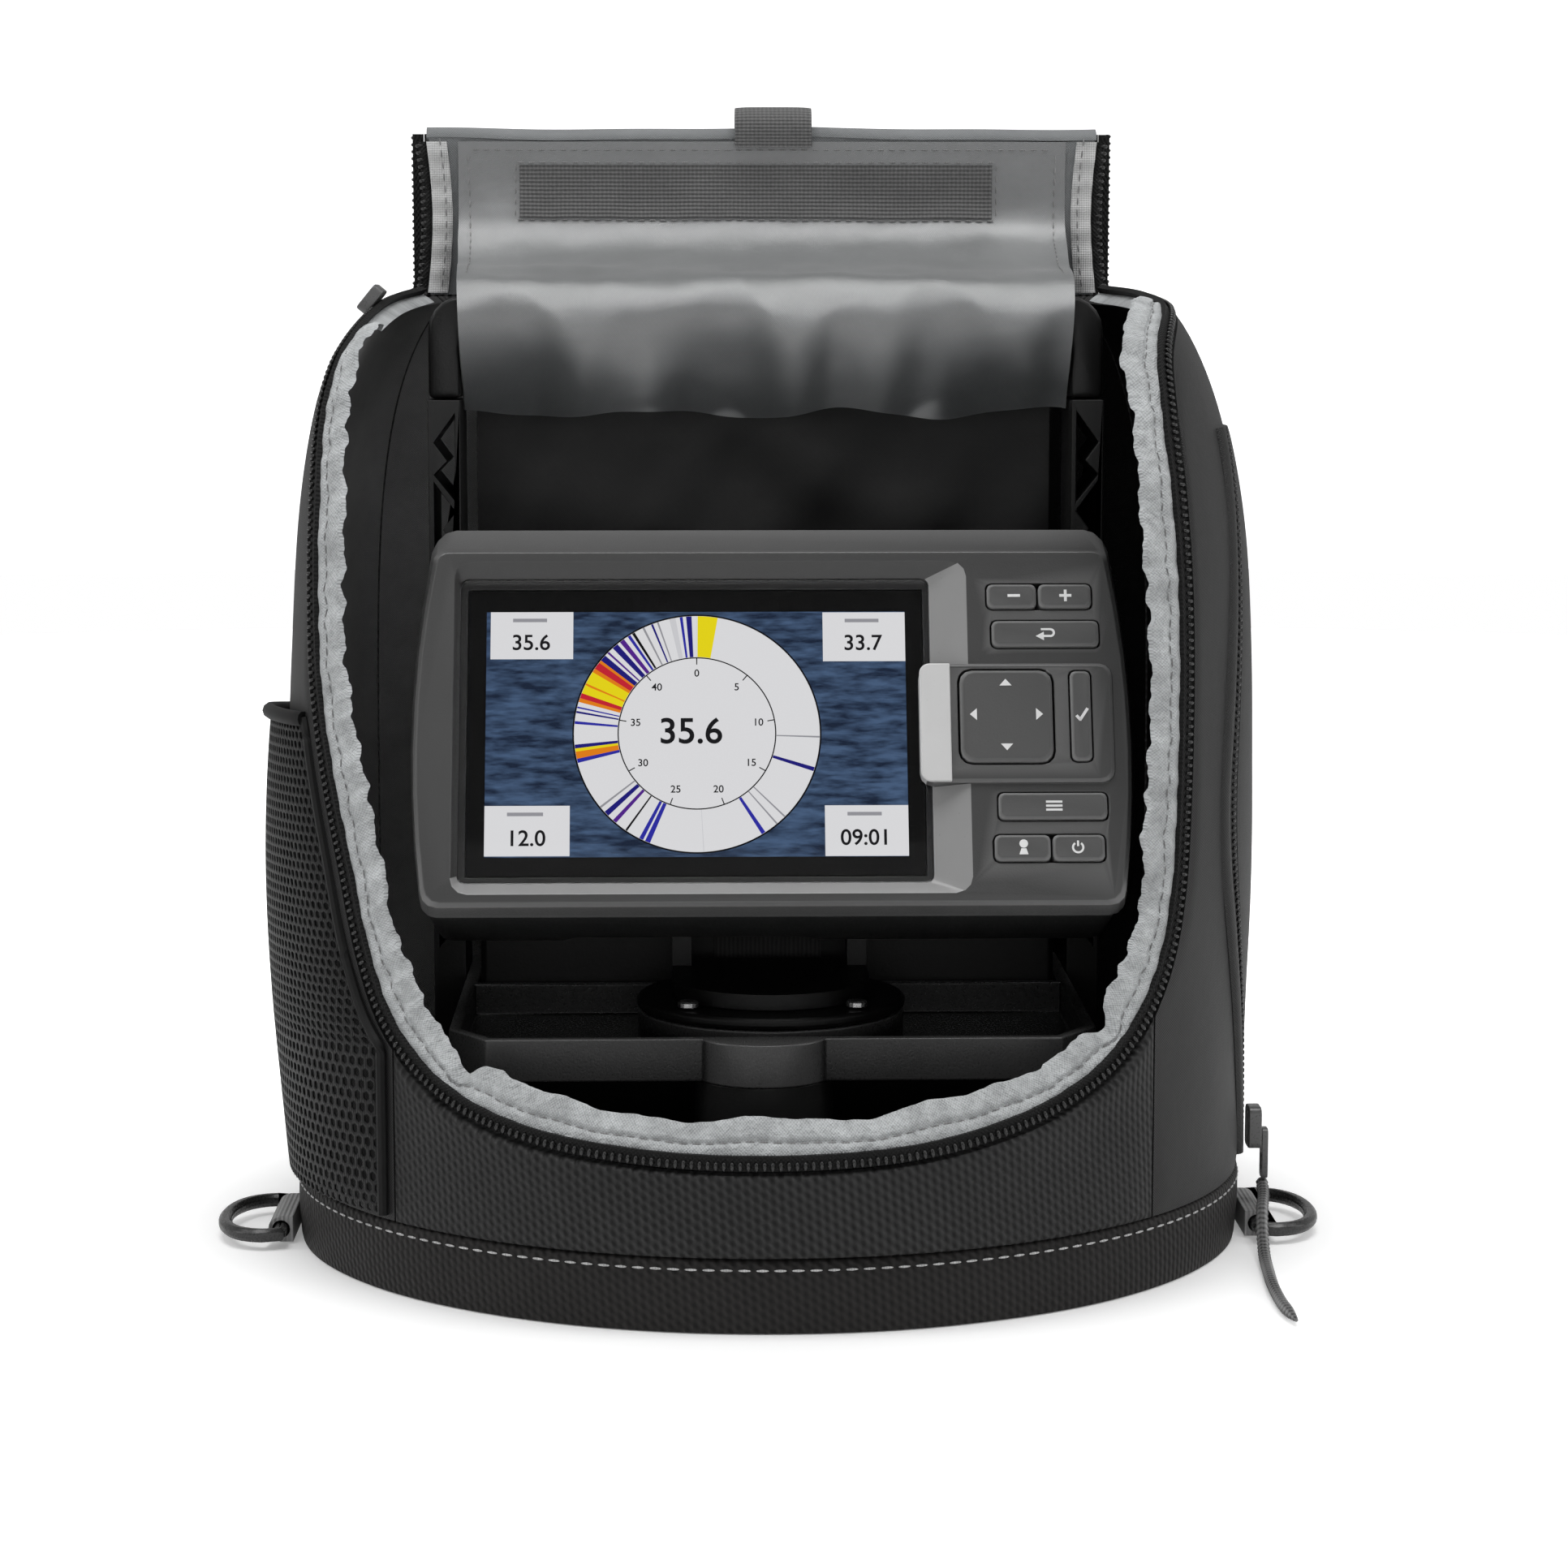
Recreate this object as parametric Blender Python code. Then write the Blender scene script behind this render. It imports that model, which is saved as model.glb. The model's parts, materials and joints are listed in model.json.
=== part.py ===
"""Portable ice-fishing sonar kit: a sonar head unit on a tilt and swivel mount, carried by a
moulded frame with a battery, inside a soft bag whose zipped lid is turned back over the rear.

Lengths below are in millimetres and are scaled by MM when a mesh is made. X runs to the right,
Y to the rear, Z up. The origin is on the ground, on the bag's middle line.
"""
import math

import bmesh
import bpy
import numpy as np
from mathutils import Matrix, Vector

MM = 0.001
GAP = 0.3                    # clearance between neighbouring solids

# Bag: the plan is an ellipse in front and a rounded rectangle behind, closing towards the top.
BAG_CENTRE_Y = 10.0
BAG_HALF_WIDTH = 122.0
BAG_FRONT_DEPTH = 110.0
BAG_REAR_DEPTH = 82.0
SHOULDER_Z = 60.0            # the walls are upright below this height
CROWN_WIDTH_RISE = 200.0     # height over which the width would close
CROWN_DEPTH_RISE = 192.0     # height over which the front depth would close
BAG_TOP_Z = 241.0
WALL = 3.5                   # lined and padded fabric
BAND_TOP_Z = 18.0
BAND_WALL = 3.0
BOTTOM_THICKNESS = 2.5
SEAM_ANGLE = 49.0            # front panel meets the side panels, degrees from the front
CORNER_ANGLE = 135.0         # side panels meet the back panel
SEAM_GAP_ANGLE = 0.14

# Zipped opening as (angle from the front in degrees, height): left rear corner, round the
# front, to the right rear corner. The left side is cut further back than the right.
OPENING_LEFT = [(-135, 241), (-112, 236.5), (-97, 230), (-88, 222), (-82, 212)]
OPENING_FRONT = [(-75.5, 194), (-72.5, 172), (-70, 146), (-66, 125), (-61, 103), (-56.5, 81), (-51, 64),
                 (-42, 50.5), (-30, 42.5), (-15, 38.8), (0, 38), (15, 39.4), (27, 43.8), (36, 49.6),
                 (43.5, 57.6), (49.5, 69), (53.5, 82), (55.8, 98), (56.8, 118), (57.5, 145),
                 (57.9, 170), (58.3, 192)]
OPENING_RIGHT = [(59.7, 211), (65, 226), (78, 234.5), (100, 238.5), (135, 241)]
EDGE_GAP = 1.0               # the zipper tape starts this far inside the panels' faceted edge
TAPE_WIDTH = 4.6
FACING_WIDTH = 10.6

# Lid, turned back over the rear top edge.
LID_Y = 90.0
LID_HALF_WIDTH = 93.0
LID_FOLD_Z = 285.8
LID_THICKNESS = 3.0
LID_HANG = 262.0             # length of the part that hangs behind
LID_BELLY = 14.0             # how much wider the lid is half way down

# Moulded frame.
UPRIGHT_OUTER = 88.4
UPRIGHT_INNER = 80.0
UPRIGHT_Y = (30.0, 58.0)
UPRIGHT_TOP_Z = 214.0
HANDLE_TOP_Z = 241.0
HANDLE_Y = (34.0, 54.0)
HANDLE_BAR = 8.6
TRAY_INSET = 4.2
TRAY_FLOOR_Z = (2.8, 5.3)
TRAY_WALL = 2.0
TRAY_RIM_Z = 14.0
SHELF_Z = (52.0, 62.5)
SHELF_FRONT_Y = -60.0
SHELF_HALF_WIDTH = 79.7
POST_CENTRE = (-2.5, -50.0)
POST_RADIUS = 17.0
BATTERY_HALF_WIDTH = 75.5
BATTERY_Y = (19.5, 83.0)
BATTERY_Z = (5.6, 93.0)

# Tilt and swivel mount.
SWIVEL_Y = -18.0
SWIVEL_RADIUS = 34.0
SWIVEL_BASE_Z = (62.8, 65.8)
YOKE_PLATE_Z = (66.1, 70.0)
YOKE_EAR_X = (20.0, 25.0)
PIN_Y = 4.0
PIN_Z = 98.0
PIN_RADIUS = 3.6
PIN_HOLE_RADIUS = 4.0
KNOB_RADIUS = 9.5

# Head unit, in its own axes: u to the right, v up the face, w out of the face.
LEAN = 23.0                  # degrees that the face leans back
FACE_CENTRE = (0.0, -42.0, 137.0)
FACE_BOTTOM = -45.5
FACE_TOP = 45.5
BEZEL_BACK = -9.0
HOUSING_BACK = -46.0
GLASS = (-76.6, 38.7, -38.8, 38.4)       # left, right, bottom, top
GLASS_FRONT = -3.3
GLASS_BACK = -5.1
DPAD_CENTRE = (57.2, 1.6)
DPAD_SIZE = (22.7, 23.4)
KEY_CLEARANCE = 0.35
KEY_FRONT = 1.0
KEY_BACK = -4.0
KEYS = {                     # left, right, bottom, top
    "minus_key": (53.2, 65.4, 29.7, 35.9),
    "plus_key": (65.9, 79.0, 29.7, 35.9),
    "back_key": (54.2, 80.6, 19.7, 26.4),
    "select_key": (73.0, 78.0, -9.8, 13.1),
    "menu_key": (54.8, 81.3, -24.3, -17.6),
    "mark_key": (53.6, 67.2, -34.7, -28.2),
    "power_key": (67.7, 80.4, -34.7, -28.2),
}

# Webbing, rings and the side zipper.
RING_BAR_X = 125.5
RING_Y = 0.0
RING_Z = 3.8
RING_HALF_WIDTH = 19.0
RING_REACH = 15.5
RING_BAR_RADIUS = 1.9
SIDE_ZIP_BOTTOM_Z = 21.0
SIDE_ZIP_TOP_Z = 208.0
MAIN_SLIDER_ANGLE = -112.0  # the main slider is parked on its zipper, by the left rear corner
SIDE_PANEL_GAP_ANGLE = 4.0  # the slider runs between the zipper's line and the pocket's panel
CORD_RADIUS = 1.5
# Pull cord's route: from the slider's pull, over the ring's tab, down and forward on the ground.
CORD_ROUTE = [(128.4, -1.5, 12.0), (128.2, -4.5, 11.0), (127.6, -9.5, 10.2), (126.6, -15.0, 9.8),
              (125.6, -20.5, 8.9), (124.8, -26.0, 6.2), (124.2, -32.0, 3.4), (123.4, -40.0, 1.9),
              (122.4, -52.0, 1.7), (121.4, -66.0, 1.7), (121.2, -82.0, 1.7), (122.2, -96.0, 1.7)]


# ---------------------------------------------------------------- scene and materials

def clear_scene():
    for item in list(bpy.data.objects):
        bpy.data.objects.remove(item, do_unlink=True)


def material(name, colour, roughness, metallic=0.0):
    made = bpy.data.materials.get(name)
    if made is None:
        made = bpy.data.materials.new(name)
        made.use_nodes = True
        shader = made.node_tree.nodes["Principled BSDF"]
        shader.inputs["Base Color"].default_value = (*colour, 1.0)
        shader.inputs["Roughness"].default_value = roughness
        shader.inputs["Metallic"].default_value = metallic
    return made


def charcoal_fabric():
    return material("charcoal_fabric", (0.035, 0.035, 0.037), 0.85)


def band_fabric():
    return material("band_fabric", (0.025, 0.021, 0.022), 0.85)


def side_nylon():
    return material("side_nylon", (0.022, 0.022, 0.023), 0.6)


def facing_fabric():
    return material("facing_fabric", (0.45, 0.45, 0.46), 0.7)


def lining_fabric():
    return material("lining_fabric", (0.19, 0.19, 0.2), 0.7)


def flap_satin():
    return material("flap_satin", (0.17, 0.17, 0.18), 0.4)


def webbing():
    return material("webbing", (0.2, 0.2, 0.205), 0.8)


def zipper_coil():
    return material("zipper_coil", (0.02, 0.02, 0.02), 0.45)


def mesh_net():
    return material("mesh_net", (0.02, 0.02, 0.021), 0.7)


def black_plastic():
    return material("black_plastic", (0.018, 0.018, 0.019), 0.45)


def unit_plastic():
    return material("unit_plastic", (0.055, 0.057, 0.06), 0.42)


def key_rubber():
    return material("key_rubber", (0.06, 0.062, 0.065), 0.5)


def steel():
    return material("steel", (0.55, 0.55, 0.56), 0.3, 1.0)


# ---------------------------------------------------------------- mesh helpers

def new_object(name, points, faces, finish):
    """Object from points in millimetres, its faces turned outwards."""
    mesh = bpy.data.meshes.new(name)
    mesh.from_pydata([tuple(float(c) * MM for c in point) for point in points], [], faces)
    mesh.materials.append(finish)
    shaped = bmesh.new()
    shaped.from_mesh(mesh)
    bmesh.ops.recalc_face_normals(shaped, faces=shaped.faces)
    shaped.to_mesh(mesh)
    shaped.free()
    made = bpy.data.objects.new(name, mesh)
    bpy.context.collection.objects.link(made)
    return made


def loft(name, rings, finish, closed=False):
    """Skin over rings of equal length; the two ends are capped, or joined when closed."""
    rings = [list(ring) for ring in rings]
    count = len(rings[0])
    points = [point for ring in rings for point in ring]
    faces = []
    spans = len(rings) if closed else len(rings) - 1
    for i in range(spans):
        here = i * count
        there = ((i + 1) % len(rings)) * count
        for k in range(count):
            after = (k + 1) % count
            faces.append((here + k, here + after, there + after, there + k))
    if not closed:
        faces.append(tuple(range(count)))
        faces.append(tuple(range(len(points) - count, len(points))))
    return new_object(name, points, faces, finish)


def sheet(name, outer, inner, finish):
    """Closed solid between two grids of points of the same shape (rows, columns, 3)."""
    rows, columns = outer.shape[:2]
    points = np.concatenate([outer.reshape(-1, 3), inner.reshape(-1, 3)])
    offset = rows * columns
    faces = []
    for r in range(rows - 1):
        for c in range(columns - 1):
            a = r * columns + c
            quad = (a, a + 1, a + columns + 1, a + columns)
            faces.append(quad)
            faces.append(tuple(i + offset for i in reversed(quad)))
    rim = [c for c in range(columns)]
    rim += [r * columns + columns - 1 for r in range(1, rows)]
    rim += [(rows - 1) * columns + c for c in range(columns - 2, -1, -1)]
    rim += [r * columns for r in range(rows - 2, 0, -1)]
    for k, a in enumerate(rim):
        b = rim[(k + 1) % len(rim)]
        faces.append((b, a, a + offset, b + offset))
    return new_object(name, points, faces, finish)


def prism(name, outline, low, high, finish, axis="z"):
    """Outline in a plane, carried from low to high along an axis.

    The outline's two numbers are (x, y) for axis z, (x, z) for axis y and (y, z) for axis x.
    """
    def place(a, b, c):
        return {"z": (a, b, c), "y": (a, c, b), "x": (c, a, b)}[axis]
    return loft(name, [[place(a, b, low) for a, b in outline],
                       [place(a, b, high) for a, b in outline]], finish)


def rectangle(left, right, bottom, top):
    return [(left, bottom), (right, bottom), (right, top), (left, top)]


def arc(centre, radius, start, end, steps):
    """Points on a circle from angle start to end, in degrees."""
    angles = np.radians(np.linspace(start, end, steps + 1))
    return [(centre[0] + radius * math.cos(a), centre[1] + radius * math.sin(a)) for a in angles]


def rounded_rectangle(left, right, bottom, top, radius, steps=3):
    corners = [((right - radius, bottom + radius), -90), ((right - radius, top - radius), 0),
               ((left + radius, top - radius), 90), ((left + radius, bottom + radius), 180)]
    return [point for centre, start in corners for point in arc(centre, radius, start, start + 90, steps)]


def circle(centre, radius, steps=24):
    return arc(centre, radius, 0, 360, steps)[:-1]


def combine(target, others, operation):
    """Boolean of target with each of others, which are used up."""
    for other in others:
        tool = target.modifiers.new("tool", "BOOLEAN")
        tool.operation = operation
        tool.solver = "EXACT"
        tool.object = other
        bpy.context.view_layer.update()
        graph = bpy.context.evaluated_depsgraph_get()
        result = bpy.data.meshes.new_from_object(target.evaluated_get(graph))
        target.modifiers.clear()
        target.data = result
        bpy.data.objects.remove(other, do_unlink=True)
    return target


def cut(target, *cutters):
    return combine(target, cutters, "DIFFERENCE")


def join(target, *others):
    return combine(target, others, "UNION")


def soften(target, width, segments=1):
    """Small bevel on the sharp edges."""
    bevel = target.modifiers.new("bevel", "BEVEL")
    bevel.width = width * MM
    bevel.segments = segments
    bevel.limit_method = "ANGLE"
    bevel.angle_limit = math.radians(40)
    return target


def smooth(target, angle=35):
    target.data.shade_smooth()
    target.data.set_sharp_from_angle(angle=math.radians(angle))
    return target


def through_points(points, count):
    """Catmull-Rom curve through points, read at count places evenly spaced along its length."""
    points = np.array(points, float)
    ends = np.vstack([2 * points[0] - points[1], points, 2 * points[-1] - points[-2]])
    steps = np.linspace(0, 1, 24, endpoint=False)[:, None]
    runs = []
    for i in range(len(points) - 1):
        p0, p1, p2, p3 = ends[i:i + 4]
        runs.append(0.5 * (2 * p1 + (p2 - p0) * steps + (2 * p0 - 5 * p1 + 4 * p2 - p3) * steps ** 2
                           + (3 * p1 - p0 - 3 * p2 + p3) * steps ** 3))
    fine = np.vstack(runs + [points[-1:]])
    length = np.concatenate([[0], np.cumsum(np.linalg.norm(np.diff(fine, axis=0), axis=1))])
    wanted = np.linspace(0, length[-1], count)
    return np.stack([np.interp(wanted, length, fine[:, k]) for k in range(fine.shape[1])], 1)


# ---------------------------------------------------------------- the bag's skin

def bag_point(angle, z, inset=0.0):
    """Point of the bag's skin, inset millimetres inside it.

    The plan is (sin, cos) of the angle, stretched to the half width and the depth, and pushed
    out to a superellipse of power 6 behind the middle. Both shrink towards the crown.
    """
    angle, z, inset = np.broadcast_arrays(np.radians(angle), np.asarray(z, float), inset)
    widen = np.clip((z - SHOULDER_Z) / (CROWN_WIDTH_RISE - inset), 0, 0.999)
    deepen = np.clip((z - SHOULDER_Z) / (CROWN_DEPTH_RISE - inset), 0, 0.999)
    half_width = (BAG_HALF_WIDTH - inset) * (1 - widen ** 5.3) ** (1 / 4.5)
    front = (BAG_FRONT_DEPTH - inset) * (1 - deepen ** 3.5) ** 0.4
    depth = np.where(np.cos(angle) >= 0, front, BAG_REAR_DEPTH - inset)
    power = np.where(np.cos(angle) >= 0, 2.0, 6.0)
    reach = (np.abs(np.sin(angle)) ** power + np.abs(np.cos(angle)) ** power) ** (-1 / power)
    return np.stack([half_width * np.sin(angle) * reach,
                     BAG_CENTRE_Y - depth * np.cos(angle) * reach, z], -1)


def bag_normal(angle, z):
    """Outward direction of the bag's skin."""
    along = bag_point(angle + 0.5, z) - bag_point(angle - 0.5, z)
    up = bag_point(angle, z + 0.5) - bag_point(angle, z - 0.5)
    normal = np.cross(along, up)
    return normal / np.linalg.norm(normal, axis=-1, keepdims=True)


def skin(angle, z, out=0.0):
    """Point a distance out of the bag's skin, square to it."""
    return bag_point(angle, z) + bag_normal(angle, z) * np.asarray(out, float)[..., None]


def opening_path(count=96):
    """(angle, height) pairs evenly along the zipped opening."""
    return through_points(OPENING_LEFT + OPENING_FRONT + OPENING_RIGHT, count)


def edge_band(name, path, rows, finish):
    """Strip that follows the opening's edge.

    rows lists the section's corners as (distance into the opening, distance out of the skin).
    """
    base = bag_point(path[:, 0], path[:, 1])
    normal = bag_normal(path[:, 0], path[:, 1])
    along = np.gradient(base, axis=0)
    along /= np.linalg.norm(along, axis=1, keepdims=True)
    inwards = np.cross(normal, along)
    sections = [base + inwards * into + normal * out for into, out in rows]
    return loft(name, np.stack(sections, 1), finish)


def patch(front, top, rear_angle):
    """(angle, height) grid between a front edge, a top edge, the rear seam and the lower edge.

    A Coons patch: the sum of the two ruled surfaces less the bilinear one of the corners.
    """
    rows, columns = len(front), len(top)
    low = front[0][1]
    s = np.linspace(0, 1, columns)[None, :, None]
    t = np.linspace(0, 1, rows)[:, None, None]
    left = np.asarray(front)[:, None, :]
    upper = np.asarray(top)[None, :, :]
    right = np.stack([np.full(rows, rear_angle), np.linspace(low, top[-1][1], rows)], 1)[:, None, :]
    lower = np.stack([np.linspace(front[0][0], rear_angle, columns), np.full(columns, low)], 1)[None]
    corners = ((1 - s) * (1 - t) * left[0] + s * (1 - t) * right[0]
               + (1 - s) * t * left[-1] + s * t * right[-1])
    return (1 - s) * left + s * right + (1 - t) * lower + t * upper - corners


# ---------------------------------------------------------------- bag pieces

def seam_height(side):
    """Height of the opening where it crosses a front seam."""
    path = opening_path(400)
    nearest = np.argmin(np.abs(path[:, 0] - side * SEAM_ANGLE))
    return float(path[nearest, 1])


def build_bag_base():
    angles = np.linspace(-180, 180, 72, endpoint=False)

    def ring(z, inset):
        return bag_point(angles, np.full(len(angles), z), inset)
    loft("bag_bottom_panel", [ring(0.0, BAND_WALL + GAP), ring(BOTTOM_THICKNESS, BAND_WALL + GAP)],
         charcoal_fabric())
    loft("bag_base_band", [ring(0.2, 0.0), ring(BAND_TOP_Z, 0.0), ring(BAND_TOP_Z, BAND_WALL),
                           ring(0.2, BAND_WALL)], band_fabric(), closed=True)


def build_front_panel():
    path = opening_path()
    limit = SEAM_ANGLE - SEAM_GAP_ANGLE
    inside = path[np.abs(path[:, 0]) < limit - 1.0]
    ends = [np.array([[side * limit, seam_height(side)]]) for side in (-1, 1)]
    top = np.vstack([ends[0], inside, ends[1]])
    low = BAND_TOP_Z + GAP
    rise = np.linspace(0, 1, 5)[:, None]
    heights = low + (top[:, 1] - low) * rise
    angles = np.broadcast_to(top[:, 0], heights.shape)
    sheet("bag_front_panel", skin(angles, heights), skin(angles, heights, -WALL), charcoal_fabric())


def side_edges(side):
    """Front edge and top edge of a side panel as (angle, height) arrays."""
    low = BAND_TOP_Z + GAP
    seam = side * (SEAM_ANGLE + SEAM_GAP_ANGLE)
    path = opening_path(400)
    path = path[::-1] if side < 0 else path
    shoulder = 205.0 if side < 0 else 210.0
    beyond = path[:, 0] * side > SEAM_ANGLE + 0.6
    climbing = path[beyond & (path[:, 1] < shoulder)]
    shoulders = path[beyond & (path[:, 1] >= shoulder)]
    seam_top = (seam, seam_height(side))
    front = np.vstack([through_points([(seam, low), seam_top], 6)[:-1],
                       through_points(np.vstack([[seam_top], climbing]), 24)])
    limit = (side * (CORNER_ANGLE - SEAM_GAP_ANGLE), BAG_TOP_Z)
    shoulders = shoulders[shoulders[:, 0] * side < CORNER_ANGLE - 1.0]
    top = through_points(np.vstack([climbing[-1:], shoulders, [limit]]), 13)
    return front, top


def build_side_panel(name, side):
    front, top = side_edges(side)
    grid = patch(front, top, side * (CORNER_ANGLE - SEAM_GAP_ANGLE))
    angle, height = grid[..., 0], grid[..., 1]
    sheet(name, skin(angle, height), skin(angle, height, -WALL), side_nylon())


def build_back_panel():
    limit = CORNER_ANGLE + SEAM_GAP_ANGLE
    angle, height = np.meshgrid(np.linspace(limit, 360 - limit, 13),
                                np.linspace(BAND_TOP_Z + GAP, BAG_TOP_Z, 9))
    sheet("bag_back_panel", skin(angle, height), skin(angle, height, -WALL), side_nylon())


def build_opening_trim():
    path = opening_path()[1:-1]
    edge_band("main_zipper_tape", path, [(EDGE_GAP, -0.4), (TAPE_WIDTH, -0.4), (TAPE_WIDTH, -2.0),
                                         (EDGE_GAP, -2.0)], zipper_coil())
    edge_band("opening_facing", path, [(EDGE_GAP, -2.4), (FACING_WIDTH, -5.4), (FACING_WIDTH, -6.8),
                                       (EDGE_GAP, -3.8)], facing_fabric())
    slider = prism("main_zipper_slider", rounded_rectangle(-5.5, 5.5, -4, 4, 1.5), 0.0, 3.2,
                   steel())
    whole = opening_path()
    edge_height = float(np.interp(MAIN_SLIDER_ANGLE, whole[:, 0], whole[:, 1]))
    parked = (MAIN_SLIDER_ANGLE, edge_height + TAPE_WIDTH / 2)
    slider.location = Vector(skin(*parked, 0.5) * MM)
    slider.rotation_euler = Vector(bag_normal(*parked)).to_track_quat("Z", "Y").to_euler()


def build_lid_top():
    across = np.linspace(-1, 1, 17)
    up = np.linspace(0, 1, 4)[:, None]
    waist = LID_HALF_WIDTH - 1.5 * np.sin(np.pi * up)
    x = across * waist
    z = BAG_TOP_Z + 0.5 + (LID_FOLD_Z - 1.6 - BAG_TOP_Z) * up + 0 * x
    front = np.stack([x, np.full_like(x, LID_Y - LID_THICKNESS / 2), z], -1)
    sheet("lid_top_panel", front, front + np.array([0, LID_THICKNESS, 0]), lining_fabric())


def lid_half_width(distance):
    """Half width of the hanging lid, by distance from its fold: widening, then a round end."""
    part = np.clip(distance / LID_HANG, 0, 1)
    belly = LID_HALF_WIDTH + LID_BELLY * np.sin(np.pi * np.clip((part - 0.16) / 0.74, 0, 1)) ** 0.8
    return belly * (1 - np.clip((part - 0.55) / 0.47, 0, 1) ** 2.6) ** 0.5


def build_hanging_lid(fold):
    across = np.linspace(-1, 1, 15)
    distance = LID_HANG * np.linspace(0, 1, 15)[:, None] ** 0.85
    x = across * lid_half_width(distance)
    near = np.stack([x, 1.5 + 4.0 * distance / LID_HANG + 0 * x, -0.5 - distance + 0 * x], -1)
    panel = sheet("lid_front_panel", near, near + np.array([0, LID_THICKNESS, 0]), lining_fabric())
    panel.parent = fold
    edge = np.vstack([near[:, 0], near[-1, 1:-1], near[::-1, -1]])
    along = np.gradient(edge, axis=0)
    along /= np.linalg.norm(along, axis=1, keepdims=True)
    outwards = np.cross(along, [0, 1, 0]) * -1
    corners = [(GAP, 0.6), (GAP + 3.0, 0.6), (GAP + 3.0, 2.4), (GAP, 2.4)]
    sections = [edge + outwards * out + np.array([0, back, 0]) for out, back in corners]
    tape = loft("lid_zipper_tape", np.stack(sections, 1), zipper_coil())
    tape.parent = fold


def strip(name, centre_line, half_width, thickness, finish, middle=0.0):
    """Flat strip of cloth or webbing that follows a centre line of (y, z) points."""
    line = np.array(centre_line, float)
    along = np.gradient(line, axis=0)
    along /= np.linalg.norm(along, axis=1, keepdims=True)
    side = np.stack([-along[:, 1], along[:, 0]], 1) * thickness / 2
    upper, lower = line + side, line - side
    sections = []
    for a, b in zip(upper, lower):
        sections.append([(middle - half_width, *a), (middle + half_width, *a),
                         (middle + half_width, *b), (middle - half_width, *b)])
    return loft(name, sections, finish)


def build_flap_and_strap():
    flap_line = through_points([(87.2, 283), (87.2, 265), (82.5, 256.5), (68, 250.5), (50, 247.8),
                                (37, 245), (30.6, 239.5), (28.4, 231), (27.9, 217), (28.4, 211)], 22)
    strip("handle_flap", flap_line, 83.5, 1.8, flap_satin())
    strap_line = through_points([(86.8, 284.3), (86.9, 288), (89.5, 291.4), (94, 291.8),
                                 (99.3, 290.0), (100.4, 284), (100.6, 262), (101.2, 240)], 16)
    strip("lid_strap", strap_line, 10.5, 1.8, webbing(), middle=3.0)


def build_mesh_pocket():
    front, _ = side_edges(-1)
    low, rim, rear = BAND_TOP_Z + 1.5, 137.0, -118.0
    below = front[front[:, 1] < rim - 6.0]
    edge = np.stack([below[:, 0] - 1.6, np.maximum(below[:, 1], low)], 1)
    edge = np.vstack([edge, [(edge[-1, 0] - 1.0, rim)]])
    rows = np.arange(0, len(edge), 2)
    edge = edge[np.append(rows[:-1], len(edge) - 1)]
    top = through_points([edge[-1], (-85, rim - 1.0), (-100, rim - 3.0), (rear, rim - 6.0)], 14)
    grid = patch(edge, top, rear)
    across = np.linspace(0, 1, 14)[None, :]
    up = np.linspace(0, 1, len(edge))[:, None]
    bulge = 0.6 + 6.6 * np.sin(np.pi * across) ** 0.6 * np.sin(np.pi * (0.12 + 0.62 * up))
    angle, height = grid[..., 0], grid[..., 1]
    sheet("mesh_pocket", skin(angle, height, bulge + 1.0), skin(angle, height, bulge), mesh_net())


def side_zip_angle(z):
    """Angle of the side zipper's line by height: it leans forward up to half height."""
    return np.interp(z, [SIDE_ZIP_BOTTOM_Z, 110.0, SIDE_ZIP_TOP_Z], [85.0, 68.0, 78.0])


def build_side_pocket():
    heights = np.linspace(SIDE_ZIP_BOTTOM_Z, SIDE_ZIP_TOP_Z, 16)
    line = side_zip_angle(heights)
    corners = [(-2.0, 0.4), (2.0, 0.4), (2.0, 1.6), (-2.0, 1.6)]
    sections = [skin(line + turn, heights, out) for turn, out in corners]
    loft("side_zipper_tape", np.stack(sections, 1), zipper_coil())
    across = np.linspace(0, 1, 9)[None, :]
    up = np.linspace(0, 1, 16)[:, None]
    angle = (line[:, None] + SIDE_PANEL_GAP_ANGLE) * (1 - across) + 128.0 * across
    height = heights[:, None] + 0 * angle
    bulge = 0.5 + 2.6 * np.sin(np.pi * across) ** 0.7 * np.sin(np.pi * up) ** 0.5
    sheet("side_pocket_panel", skin(angle, height, bulge + 1.8), skin(angle, height, bulge),
          side_nylon())


def build_side_slider():
    slide_origin = bpy.data.objects.new("side_slider_origin", None)
    bpy.context.collection.objects.link(slide_origin)
    slide_origin.location = (124.2 * MM, -1.5 * MM, 27.0 * MM)
    slider = prism("side_zipper_slider", rounded_rectangle(-3.8, 3.8, -5.5, 5.5, 1.8), 0.0, 3.4,
                   steel(), axis="x")
    slider.parent = slide_origin
    pull_axis = bpy.data.objects.new("pull_axis", None)
    bpy.context.collection.objects.link(pull_axis)
    pull_axis.parent = slide_origin
    pull_axis.location = (4.4 * MM, 0, -1.0 * MM)
    pull = prism("side_zipper_pull", rounded_rectangle(-2.4, 2.4, -12.6, 0.6, 1.2), -0.6, 0.9,
                 black_plastic(), axis="x")
    cut(pull, prism("pull_slot", rounded_rectangle(-1.3, 1.3, -10.6, -6.0, 0.8), -2, 3,
                    black_plastic(), axis="x"))
    pull.parent = pull_axis
    build_pull_cord()


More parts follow.
